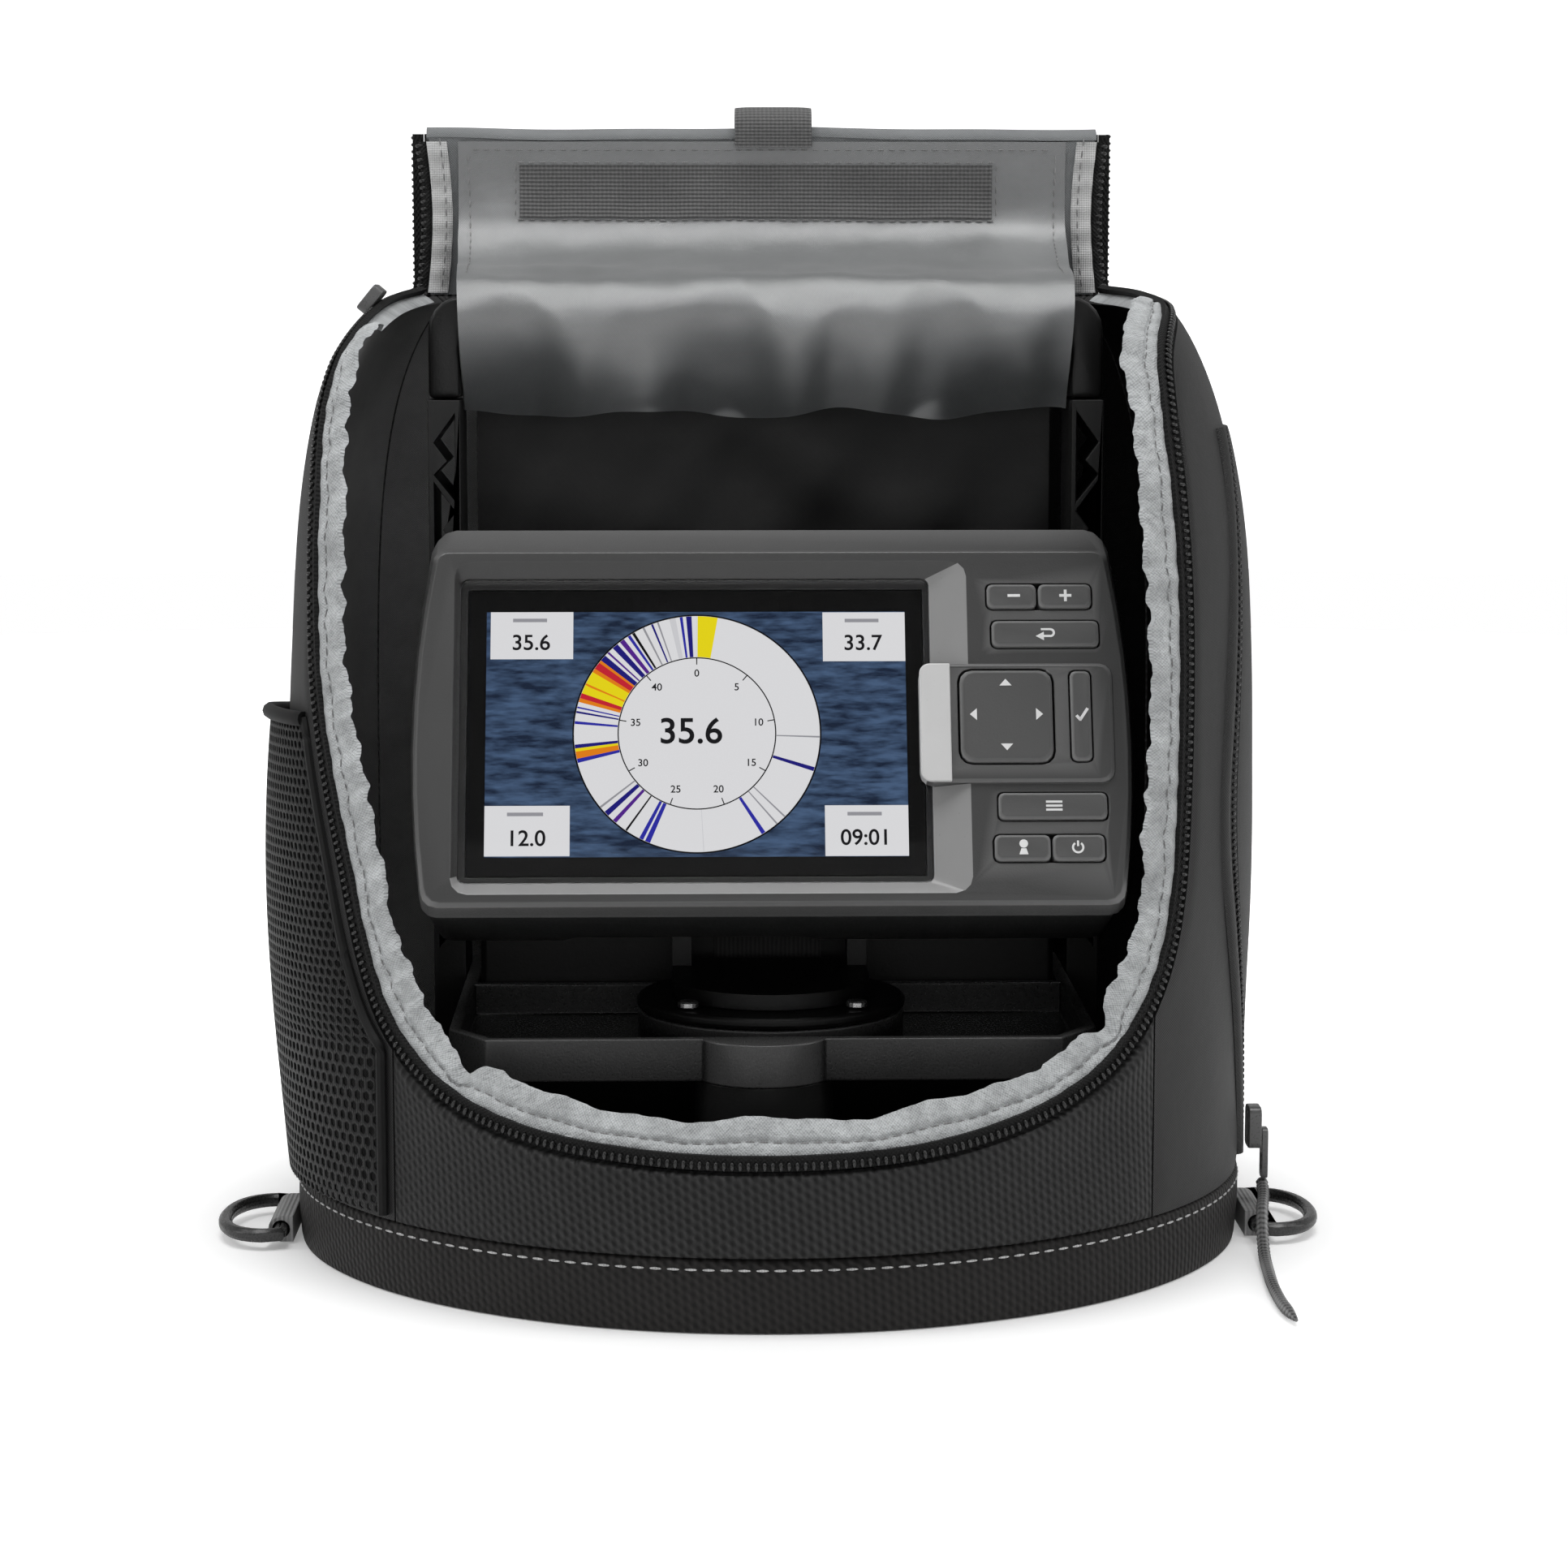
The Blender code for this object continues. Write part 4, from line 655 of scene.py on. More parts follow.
def side_panel(name, side, lining):
    front, top = side_edges(side)
    grid = patch(front, top, side * (CORNER - 0.14))
    angle, height = grid[..., 0], grid[..., 1]
    across = np.broadcast_to(np.linspace(0, 1, angle.shape[1]), angle.shape)
    up = np.broadcast_to(np.linspace(0, 1, angle.shape[0])[:, None], angle.shape)
    out = puff(across, up, 0.04) * (0.6 + 0.8 * soft_waves(angle, height * 0.6, 16.0, 2.0 + side))
    return two_sided(name, skin(angle, height, out), skin(angle, height, -WALL + 0 * out), side_nylon,
                     cloth_place(angle, height), lining)


def back_panel():
    limit = CORNER + 0.14
    angle, height = np.meshgrid(np.linspace(limit, 360 - limit, 90), np.linspace(BAND_TOP + 0.3, BAG_TOP, 90))
    across = (angle - limit) / (360 - 2 * limit)
    up = (height - BAND_TOP) / (BAG_TOP - BAND_TOP)
    out = puff(across, up, 0.05) * (0.6 + 0.6 * soft_waves(angle, height * 0.6, 15.0, 5.0))
    # The inside faces take the near-black lining that paints shade.
    return two_sided("back_panel", skin(angle, height, out), skin(angle, height, -WALL + 0 * out), bag_dobby,
                     cloth_place(angle, height), painted_shade_lining)


# The right side's inside takes the near-black lining that paints shade; the left side's inside is grey.
bag_left, bag_right = side_panel("left_panel", -1, inner_lining), side_panel("right_panel", 1, painted_shade_lining)
bag_back = back_panel()
# Inside the back, faces left of the middle take the grey lining, and the right half keeps the near-black lining that
# paints shade.
bag_back.data.materials.append(inner_lining)
centres = np.empty(len(bag_back.data.polygons) * 3)
bag_back.data.polygons.foreach_get("center", centres)
sides = np.empty(len(bag_back.data.polygons), np.int32)
bag_back.data.polygons.foreach_get("material_index", sides)
sides[(sides == 1) & (centres[::3] < 0)] = 2
bag_back.data.polygons.foreach_set("material_index", sides)
for piece, node in ((bag_left, "bag_left_panel"), (bag_right, "bag_right_panel"), (bag_back, "bag_back_panel")):
    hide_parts(node)
print("side panel faces:", len(bag_left.data.polygons), len(bag_right.data.polygons))

# %% [markdown]
# The base band wraps the foot of the bag and is topstitched in pale thread. The stitches are
# three millimetres long, lie just under the band's upper edge, and follow the skin all round.

# %% Base band and its topstitching
def base_band():
    """Closed ring: the section runs up the outside, over the folded top and down the inside."""
    angle = np.linspace(-180, 180, 300, endpoint=False)
    section = np.array([(0.2, -0.9), (0.25, -0.2), (1.2, 0.0), (6.0, 0.35), (11.0, 0.5), (16.0, 0.35), (17.4, 0.1),
                        (18.0, -0.6), (18.0, -2.4), (17.4, -3.0), (9.0, -3.0), (1.0, -3.0), (0.2, -2.4)])
    z = np.broadcast_to(section[:, :1], (len(section), len(angle)))
    wobble = 0.25 * soft_waves(angle[None, :], z, 9.0, 3.0) * (section[:, 1:] > -0.5)
    points = skin(np.broadcast_to(angle, z.shape), z, section[:, 1:] + wobble)
    faces = grid_quads(len(section), len(angle), wrap_rows=True, wrap_columns=True)
    return face_outwards(put_mesh("base_band", points.reshape(-1, 3), faces, band_dobby,
                                  cloth_place(np.broadcast_to(angle, z.shape), z).reshape(-1, 2)), 60)


band = base_band()
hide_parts("bag_base_band")
round_bag = np.linspace(-180, 180, 500)
band_stitches = stitch_row("base_band_stitches", skin(round_bag, 15.6 + 0 * round_bag, 0.55 + 0 * round_bag),
                           bag_normal(round_bag, 15.6 + 0 * round_bag), pale_thread)
print("base band stitches:", len(band_stitches.data.polygons) // 30)

# %% [markdown]
# Round the opening run the black zipper tape with its coil and, inside it, a pale gathered
# facing. The facing is longer than the edge that it is sewn to, so it ripples: waves of unlike
# length run along it, strongest at its free edge, and a line of stitches pinches its middle.

# %% Opening trim: tape, teeth and gathered facing
def edge_frame(path):
    """Along the opening: the skin's point, its normal, the run of the edge and the way inwards."""
    base, normal = bag_point(*path.T), bag_normal(*path.T)
    along = np.gradient(base, axis=0)
    along /= np.linalg.norm(along, axis=1, keepdims=True)
    return base, normal, along, np.cross(normal, along)


def edge_strip(name, path, into, out, thickness, finish):
    """Strip along the opening; into and out are grids (along, across) in millimetres."""
    base, normal, along, inwards = edge_frame(path)
    face = base[:, None] + inwards[:, None] * into[..., None] + normal[:, None] * out[..., None]
    back = face - normal[:, None] * thickness
    run = np.concatenate([[0], np.cumsum(np.linalg.norm(np.diff(base, axis=0), axis=1))])
    place = np.stack([np.broadcast_to(run[:, None], into.shape), into], -1) * MM
    return two_sided(name, face, back, finish, place), run


edge = opening_edge(1100)[8:-8]
base, normal, along, inwards = edge_frame(edge)
across = np.linspace(0, 1, 5)[None, :] + 0 * edge[:, :1]
main_tape, run = edge_strip("main_zip_tape", edge, 1.0 + 3.6 * across, -0.5 + 0 * across, 1.4, zip_tape)
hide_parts("main_zipper_tape")
tooth_at, tooth_along, tooth_out, tooth_in = evenly(base + inwards * 2.2 + normal * 0.1, 1.9, along, normal, inwards)
main_teeth = small_solids("main_zip_teeth", tooth_at, tooth_in, tooth_out, (1.15, 0.62, 0.75), coil_nylon)

run = run[:, None]
across = np.linspace(0, 1, 22)[None, :]
corner_tuck = sum(np.exp(-((edge[:, :1] - a) / 1.6) ** 2) for a in (-41.0, 45.0))
near_end = np.minimum(edge[:, :1] + 101.0, 92.0 - edge[:, :1])
gathered = np.clip(near_end / 12.0, 0.0, 1.0) ** 0.5
gathers = (np.sin(run * 0.52 + 1.6 * np.sin(run * 0.13)) + 0.5 * np.sin(run * 1.05 + 2.2 * np.sin(run * 0.071) + 2 * across)
           + 0.22 * np.sin(run * 2.3 + 1.1 * np.sin(run * 0.19) + 4 * across))
edge_wander = np.sin(run * 0.11 + np.sin(run * 0.05)) + 0.4 * np.sin(run * 0.27)
into = 2.6 + (9.4 + 0.9 * edge_wander) * across * (0.08 + 0.92 * gathered) * (1 - 0.45 * corner_tuck)
pinch = np.exp(-((across - 0.5) / 0.07) ** 2)
out = (-1.7 - 3.4 * across ** 1.2 + 0.5 * gathers * (0.04 + 0.96 * across) * gathered - 0.8 * pinch
       + 0.9 * np.sin(np.pi * across) ** 0.8)
facing, _ = edge_strip("gathered_facing", edge, into, out, 1.0, facing_cloth)
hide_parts("opening_facing")
middle = base + inwards * into[:, 10:11] + normal * (out[:, 10:11] + 0.15)
sewn = near_end[:, 0] > 8.0
facing_stitches = stitch_row("facing_stitches", middle[sewn], normal[sewn], grey_thread, 3.2, 2.2, 0.22)
print("teeth:", len(tooth_at), "facing faces:", len(facing.data.polygons))

# %% [markdown]
# The facing was cut as one long strip, longer than the opening by the share taken up in its gathers.

# %% Pieces of the shell ride on the bag
for piece, slot_name in ((bag_front, "charcoal_fabric"), (bag_left, "side_nylon"), (bag_right, "side_nylon"),
                         (bag_back, "side_nylon"), (band, "band_fabric"), (band_stitches, "facing_fabric"),
                         (main_tape, "zipper_coil"), (main_teeth, "zipper_coil"), (facing, "facing_fabric"),
                         (facing_stitches, "facing_fabric")):
    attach(piece, "bag")

# %% [markdown]
# The pocket on the left is knitted net. Its holes are real: a honeycomb of cells is laid out flat
# at the net's own pitch, each cell is a six-sided ring round its hole, and the flat net is then
# carried onto the bag's side, standing out in the middle as if something had been in it.

# %% Mesh pocket
def read_grid(grid, s, t):
    """Bilinear reading of a (rows, columns, k) grid at shares s across and t up."""
    rows, columns = grid.shape[:2]
    x, y = np.clip(s, 0, 1) * (columns - 1), np.clip(t, 0, 1) * (rows - 1)
    i, j = np.minimum(x.astype(int), columns - 2), np.minimum(y.astype(int), rows - 2)
    fx, fy = (x - i)[..., None], (y - j)[..., None]
    return ((1 - fy) * ((1 - fx) * grid[j, i] + fx * grid[j, i + 1])
            + fy * ((1 - fx) * grid[j + 1, i] + fx * grid[j + 1, i + 1]))


def pocket_patch():
    front, _ = side_edges(-1, 40)
    low, rim, rear = BAND_TOP + 1.5, 137.0, -118.0
    below = front[front[:, 1] < rim - 3.0]
    left = np.stack([below[:, 0] - 1.6, np.maximum(below[:, 1], low)], 1)
    left = np.vstack([left, [(left[-1, 0] - 1.0, rim)]])
    return patch(left, through_points([left[-1], (-85, rim - 1), (-100, rim - 3), (rear, rim - 6)], 40), rear)


def on_pocket(grid, s, t, lift=0.0):
    """Point of the pocket: its patch, standing out by a full belly that is lower at the rim."""
    place = read_grid(grid, s, t)
    belly = 0.8 + 6.4 * np.sin(np.pi * np.clip(s, 0, 1)) ** 0.6 * np.sin(np.pi * (0.12 + 0.62 * np.clip(t, 0, 1)))
    belly = belly + 0.5 * np.sin(9 * s + 5 * t) * np.sin(np.pi * np.clip(s, 0, 1))
    return skin(place[..., 0], place[..., 1], belly + lift)


def mesh_pocket(grid, width=122.0, height=116.0, pitch=2.7):
    """Honeycomb: cell centres on a staggered lattice, six corners each, and a hole of 0.62."""
    rows, columns = int(height / (pitch * 0.866)), int(width / pitch)
    j, i = np.meshgrid(np.arange(rows), np.arange(columns), indexing="ij")
    centre = np.stack([(i + 0.5 * (j % 2) + 0.5) * pitch, (j + 0.6) * pitch * 0.866], -1).reshape(-1, 1, 2)
    turn = np.radians(30 + 60 * np.arange(6))
    corner = np.stack([np.cos(turn), np.sin(turn)], 1)[None] * pitch / math.sqrt(3)
    flat = np.concatenate([centre + corner, centre + corner * 0.66], 1)
    k = np.arange(6)
    ring = np.stack([k, (k + 1) % 6, (k + 1) % 6 + 6, k + 6], 1)
    faces = (ring[None] + 12 * np.arange(len(flat))[:, None, None]).reshape(-1, 4)
    flat = flat.reshape(-1, 2)
    made = put_mesh("net_pocket", on_pocket(grid, flat[:, 0] / width, flat[:, 1] / height), faces.tolist(), net_cord)
    shaped = bmesh.new()
    shaped.from_mesh(made.data)
    bmesh.ops.remove_doubles(shaped, verts=shaped.verts, dist=0.00005)
    shaped.to_mesh(made.data)
    shaped.free()
    wall = made.modifiers.new("strand", "SOLIDIFY")
    wall.thickness, wall.offset = 0.0005, 0.0
    return made


net_grid = pocket_patch()
net = mesh_pocket(net_grid)
s = np.linspace(0, 1, 80)
net_rim = tube("net_pocket_rim", on_pocket(net_grid, s, 1 + 0 * s, 0.6), 1.9, zip_tape, 10)
net_side = tube("net_pocket_front_binding", on_pocket(net_grid, 0 * s, s, 0.2), 1.3, zip_tape, 8)
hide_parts("mesh_pocket")
for piece in (net, net_rim, net_side):
    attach(piece, "bag")
print("net faces:", len(net.data.polygons))

# %% [markdown]
# On the right a zipped pocket lies over the side panel. A welt runs along the zipper's coil, and
# the pocket's cloth swells away from it towards the rear corner.

# %% Side pocket and its zipper
def side_zip_angle(z):
    """The zipper's line leans forward up to half height and back above it; its bend is rounded
    by averaging the two straight runs over 32 mm of height."""
    runs = [np.interp(z + step, [-40.0, 110.0, 260.0], [96.7, 68.0, 83.3]) for step in np.linspace(-16, 16, 9)]
    return sum(runs) / len(runs)


def side_strip(name, start, end, lifts, thickness, finish, columns=24):
    """Strip beside the zipper's line between two angles from it; lifts is a function of (s, t)."""
    z = np.linspace(21.0, 208.0, 120)[:, None]
    s = np.linspace(0, 1, columns)[None, :]
    line = side_zip_angle(z)
    angle = (line + start) * (1 - s) + (end if end > 30 else line + end) * s
    height = z + 0 * angle
    out = lifts(s + 0 * z, (z - 21.0) / 187.0 + 0 * s)
    return two_sided(name, skin(angle, height, out), skin(angle, height, out - thickness), finish,
                     cloth_place(angle, height))


side_tape = side_strip("side_zip_tape", -2.0, 2.0, lambda s, t: 1.2 + 0 * s, 0.8, zip_tape, 4)
pocket_cloth = side_strip("side_pocket_cloth", 2.1, 128.0,
                          lambda s, t: 1.3 + 2.2 * np.sin(np.pi * s) ** 0.7 * np.sin(np.pi * t) ** 0.5
                          + 0.5 * soft_waves(60 * s, 120 * t, 11.0, 8.0) * np.sin(np.pi * s), 1.0, side_nylon, 60)
front_welt = side_strip("side_zip_welt", -4.6, -1.2, lambda s, t: 0.5 + 1.5 * np.sin(np.pi * s) ** 0.6, 0.9,
                        side_nylon, 9)
z = np.linspace(22.0, 207.0, 200)
line = side_zip_angle(z)
at, way, up = evenly(skin(line, z, 1.5 + 0 * z), 1.8, np.gradient(skin(line, z), axis=0), bag_normal(line, z))
side_teeth = small_solids("side_zip_teeth", at, np.cross(up, way), up, (1.1, 0.6, 0.6), coil_nylon)
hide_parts("side_zipper_tape")
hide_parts("side_pocket_panel")
for piece, slot_name in ((side_tape, "zipper_coil"), (side_teeth, "zipper_coil"), (pocket_cloth, "side_nylon"),
                         (front_welt, "side_nylon")):
    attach(piece, "bag")
print("side zipper teeth:", len(at))

# %% [markdown]
# The lid is turned back over the rear edge. Its standing part shows grey lining with a pale
# binding and zipper teeth down both sides; the rest hangs behind. A narrow roll of cloth makes
# the fold.

# %% Lid: standing part, fold and hanging part
def lid_standing(columns=120, rows=40):
    """Upright cloth at y 88.5 to 91.5: waist drawn in a little, wavy top, shallow ripples."""
    x = np.linspace(-1, 1, columns)[None, :]
    t = np.linspace(0, 1, rows)[:, None]
    wide = x * (91.5 - 1.5 * np.sin(np.pi * t))
    top = 284.0 + 0.8 * np.sin(x * 5.1 + 1.0) + 0.4 * np.sin(x * 12.0)
    height = 241.5 + (top - 241.5) * t
    ripple = 0.6 * soft_waves(wide, height, 12.0, 4.0) * np.sin(np.pi * t)
    front = np.stack([wide, 88.7 + ripple, height], -1)
    place = np.stack([wide, height], -1) * MM
    return two_sided("lid_standing_cloth", front, front + np.array([0, 2.6, 0]), lid_lining, place, bag_dobby)


def lid_half_width(d):
    """Half width of the hanging lid by distance from the fold: a belly, then a round end."""
    part = np.clip(d / 262.0, 0, 1)
    belly = 93.0 + 14.0 * np.sin(np.pi * np.clip((part - 0.16) / 0.74, 0, 1)) ** 0.8
    return belly * (1 - np.clip((part - 0.55) / 0.47, 0, 1) ** 2.6) ** 0.5


def lid_hanging(rows=110, columns=90):
    d = 262.0 * np.linspace(0, 1, rows)[:, None] ** 0.85
    x = np.linspace(-1, 1, columns)[None, :]
    wide = x * lid_half_width(d)
    ripple = 0.7 * soft_waves(wide, d * 0.8, 15.0, 6.0) * (1 - x ** 8)
    near = np.stack([wide, 94.4 + 4.0 * d / 262.0 + ripple, 285.3 - d + 0 * wide], -1)
    place = np.stack([wide, d + 0 * wide], -1) * MM
    return near, two_sided("lid_hanging_cloth", near, near + np.array([0, 2.8, 0]), bag_dobby, place, lid_lining)


def side_pair(name, finish, left, right, y_front, y_back):
    """Two upright strips down the standing lid's sides, between two half widths."""
    pieces = []
    for side, label in ((-1, "left"), (1, "right")):
        t = np.linspace(0, 1, 40)[:, None]
        s = np.linspace(0, 1, 6)[None, :]
        draw = 1.5 * np.sin(np.pi * t)
        x = side * (left + (right - left) * s - draw)
        z = 242.0 + 41.0 * t + 0 * s
        y = y_front - 0.6 * np.sin(np.pi * s) + 0.25 * np.sin(t * 40 + side) + 0 * x
        outer = np.stack([x, y, z], -1)
        pieces.append(two_sided(f"{name}_{label}", outer, outer + np.array([0, y_back - y_front, 0]), finish,
                                np.stack([x, z], -1) * MM))
    return pieces


standing = lid_standing()
near, hanging = lid_hanging()
bindings = side_pair("lid_binding", binding_tape, 86.5, 92.0, 87.6, 88.6)
lid_tapes = side_pair("lid_side_tape", zip_tape, 91.8, 94.6, 89.0, 90.4)
t = np.linspace(0, 1, 60)
side_teeth_rows = []
for side, label in ((-1, "left"), (1, "right")):
    row = np.stack([side * (94.2 - 1.5 * np.sin(np.pi * t)), 88.9 + 0 * t, 243.0 + 40.0 * t], 1)
    at, = evenly(row, 1.9)
    flat = np.tile([[float(side), 0, 0]], (len(at), 1))
    side_teeth_rows.append(small_solids(f"lid_side_teeth_{label}", at, flat, np.tile([[0, -1.0, 0]], (len(at), 1)),
                                        (1.1, 0.62, 0.7), coil_nylon))
    seam = np.stack([side * (88.2 - 1.5 * np.sin(np.pi * t)), 86.9 + 0 * t, 243.0 + 40.0 * t], 1)
    side_teeth_rows.append(stitch_row(f"lid_binding_stitches_{label}", seam,
                                      np.tile([[0, -1.0, 0]], (len(seam), 1)), grey_thread, 3.2, 2.2, 0.22))
turn = np.linspace(0, np.pi, 14)[:, None]
x = np.linspace(-92, 92, 120)[None, :]
lift = 0.8 * np.sin(x / 92 * 5.1 + 1.0) + 0.4 * np.sin(x / 92 * 12.0)
outer = np.stack([x + 0 * turn, 92.8 - 4.3 * np.cos(turn) + 0 * x, 283.8 + (3.0 + 0.3 * lift) * np.sin(turn) + 0 * x
                  + lift * (turn < 1.0) * 0.5], -1)
inner = np.stack([x + 0 * turn, 92.8 - 3.1 * np.cos(turn) + 0 * x, 283.4 + 2.0 * np.sin(turn) + 0 * x], -1)
fold_roll = two_sided("lid_fold_roll", outer, inner, lid_lining,
                      np.stack([x + 0 * turn, turn * 4.3 + 0 * x], -1) * MM)
lid_edge = np.vstack([near[:, 0], near[-1, 1:-1], near[::-1, -1]])
tape_way = np.cross(np.gradient(lid_edge, axis=0), [0, 1.0, 0])
tape_way /= -np.linalg.norm(tape_way, axis=1, keepdims=True)
share = np.linspace(0, 1, 4)[None, :, None]
band_grid = lid_edge[:, None] + tape_way[:, None] * (0.3 + 3.0 * share) + np.array([0, 0.8, 0])
hanging_tape = two_sided("lid_hanging_tape", band_grid, band_grid + np.array([0, 1.4, 0]), zip_tape,
                         np.stack([np.arange(len(lid_edge))[:, None] * 2.0 + 0 * share[..., 0],
                                   share[..., 0] * 3.0 + 0 * lid_edge[:, :1]], -1) * MM)
at, way, out = evenly(lid_edge + tape_way * 2.8 + np.array([0, 2.4, 0]), 1.9, np.gradient(lid_edge, axis=0), tape_way)
hanging_teeth = small_solids("lid_hanging_teeth", at, out, np.tile([[0, 1.0, 0]], (len(at), 1)), (1.1, 0.62, 0.7),
                             coil_nylon)
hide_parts("lid_top_panel")
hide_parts("lid_front_panel")
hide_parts("lid_zipper_tape")
for piece in (standing, *bindings, *lid_tapes, *side_teeth_rows):
    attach(piece, "bag")
for piece in (hanging, hanging_tape, hanging_teeth):
    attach(piece, "lid")
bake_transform(fold_roll)
print("lid teeth:", len(at))

# %% [markdown]
# The flap is a thin satin rain guard. It is sewn along the top of the lid's lining, comes forward
# over the carry handle and falls in soft vertical folds. Its fold depth grows from nothing at
# the sewn edge to a few millimetres at the free edge, and a hook strip is sewn near its top.

# %% Flap
FLAP_LINE = [(87.2, 283), (87.2, 265), (82.5, 256.5), (68, 250.5), (50, 247.8), (37, 245), (30.6, 239.5),
             (28.0, 232), (28.6, 222), (31.6, 211)]


def flap_surface(rows=150, columns=170):
    """Centre line swept across x, pushed along its own normal by folds that deepen downwards;
    below a row of arches the cloth tucks in under itself."""
    line = through_points(FLAP_LINE, rows)
    along = np.gradient(line, axis=0)
    along /= np.linalg.norm(along, axis=1, keepdims=True)
    way = np.stack([along[:, 1], -along[:, 0]], 1)
    s = np.linspace(0, 1, rows)[:, None]
    x = np.linspace(-1, 1, columns)[None, :] * (83.3 - 4.0 * np.clip((s - 0.25) / 0.7, 0, 1))
    deepen = np.clip((s - 0.68) / 0.28, 0, 1) ** 1.2
    folds = np.sin(x / 6.8 + 0.9 * np.sin(x / 19.0) + 1.1) + 0.45 * np.sin(x / 3.1 + 2.0 + 3 * s)
    creases = 0.9 * soft_waves(x * 0.35, s * 120, 9.0, 3.0) + 0.45 * soft_waves(x, s * 90, 5.0, 7.0)
    push = 1.5 * deepen * folds + creases * np.clip(s / 0.12, 0, 1) * (1 - 0.5 * deepen)
    droop = np.clip((s - 0.9) / 0.1, 0, 1) * (1.2 * np.sin(x / 8.4 + 2.2) + 0.8)
    arch = 0.745 + 0.05 * np.sin(x / 9.5 + 0.4) + 0.03 * np.sin(x / 5.1 + 2.0 * np.sin(x / 40.0))
    lean = np.clip((s - arch) / 0.24, 0, 1.2) ** 1.3
    tuck = (9.0 + 3.5 * np.sin(x / 9.5 + 1.6) + 1.2 * np.sin(x / 4.3)) * lean
    y = line[:, :1] + way[:, :1] * push + tuck
    z = line[:, 1:] + way[:, 1:] * push - droop
    points = np.stack([x + 0 * s, y, z], -1)
    return points, np.stack([x + 0 * s, s * 118.0 + 0 * x], -1) * MM


flap_points, flap_map = flap_surface()
flap_satin.node_tree.nodes["Principled BSDF"].inputs["IOR"].default_value = 1.9
flap_out = np.cross(np.gradient(flap_points, axis=1), np.gradient(flap_points, axis=0))
flap_out /= np.linalg.norm(flap_out, axis=2, keepdims=True)
flap_out *= -np.sign(flap_out[5, 80, 1])
flap = two_sided("rain_flap", flap_points, flap_points - flap_out * 0.7, flap_satin, flap_map)


def flap_row(s_range, x_range, count):
    """Points and outward ways on the flap's face along a straight run in (share down, x)."""
    s, x = np.linspace(*s_range, count), np.linspace(*x_range, count)
    half = 83.3 - 4.0 * np.clip((s - 0.25) / 0.7, 0, 1)
    both = np.concatenate([flap_points, flap_out], -1)
    got = read_grid(both, (x / half + 1) / 2, s)
    return got[:, :3] + got[:, 3:] * 0.25, got[:, 3:]


flap_seams = [((0.02, 0.02), (-80, 80)), ((0.03, 0.62), (-80.6, -78.6)), ((0.03, 0.62), (80.6, 78.6)),
              ((0.05, 0.05), (-67.7, 64.3)), ((0.19, 0.19), (-67.7, 64.3)), ((0.05, 0.19), (-67.7, -67.7)),
              ((0.05, 0.19), (64.3, 64.3))]
flap_stitches = [stitch_row(f"flap_stitches_{k}", *flap_row(down, over, 160), grey_thread, 3.0, 2.0, 0.22)
                 for k, (down, over) in enumerate(flap_seams)]
strip_rows = [flap_row((s, s), (-66.5, 63.1), 90) for s in np.linspace(0.056, 0.184, 12)]
strip_face = np.stack([p + n * 0.35 for p, n in strip_rows])
strip_back = np.stack([p - n * 0.2 for p, n in strip_rows])
hook_strip = two_sided("flap_hook_strip", strip_face, strip_back, grey_webbing, np.stack(np.broadcast_arrays(
    np.linspace(0, 0.13, 90)[None, :], np.linspace(0, 0.015, 12)[:, None]), -1))
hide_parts("handle_flap")
for piece in (flap, hook_strip, *flap_stitches):
    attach(piece, "bag")

# %% [markdown]
# A near-black cloth hangs inside, behind the carry frame, and hides the rear of the bag: it
# stands in for the shade there. It is loose, so a few long slanting folds run across it.

# %% Inner rear cloth: near-black sheet for painted shade
def shade_sheet(columns=110, rows=90):
    """Upright cloth at y 70, moved by slanted folds that are strongest at its middle."""
    x = np.linspace(-78, 78, columns)[None, :]
    t = np.linspace(0, 1, rows)[:, None]
    z = 102.0 + 134.0 * t + 0 * x
    folds = np.sin((x * 0.5 + z) / 9.0 + 0.8 * np.sin(x / 23.0)) + 0.5 * np.sin((x - z * 0.7) / 6.0)
    y = 71.0 + 1.9 * folds * np.sin(np.pi * t) ** 0.5 * (1 - (x / 78.0) ** 6)
    front = np.stack([x + 0 * t, y, z], -1)
    return two_sided("rear_shade_sheet", front, front + np.array([0, 0.9, 0]), shade_satin,
                     np.stack([x + 0 * t, z], -1) * MM)


# Near-black satin: painted shade for the dark inside behind the frame.
shade_satin = cloth("shade_satin", 0.004, 0.008, 0.0005, 0.0, 0.34, 0.02, 0.00006, 0.3, crumple=6.0, spec=0.6)
shade_sheet_piece = shade_sheet()
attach(shade_sheet_piece, "bag")
print("inner cloth faces:", len(shade_sheet_piece.data.polygons))

# %% [markdown]
# A short webbing strap is sewn over the fold of the lid. Webbing is thick and flat, with a
# diagonal rib; both its ends are stitched down. It crosses the hinge.

# %% Strap over the fold
def strap():
    line = through_points([(86.6, 281.5), (86.7, 288), (89.5, 291.2), (94, 291.7), (99.3, 290.0), (100.4, 284),
                           (100.6, 262), (101.2, 240)], 90)
    along = np.gradient(line, axis=0)
    along /= np.linalg.norm(along, axis=1, keepdims=True)
    way = np.stack([-along[:, 1], along[:, 0]], 1)
    x = 3.0 + np.linspace(-10.5, 10.5, 22)[None, :]
    crown = 0.8 - 0.3 * np.abs((x - 3.0) / 10.5) ** 6
    faces = [np.stack([x + 0 * line[:, :1], line[:, :1] + sign * way[:, :1] * crown,
                       line[:, 1:] + sign * way[:, 1:] * crown], -1) for sign in (1, -1)]
    run = np.linspace(0, 90, 90)[:, None]
    return two_sided("fold_strap", *faces, grey_webbing, np.stack([x + 0 * run, run + 0 * x], -1) * MM)


fold_strap = strap()
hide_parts("lid_strap")
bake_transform(fold_strap)
print("strap faces:", len(fold_strap.data.polygons))

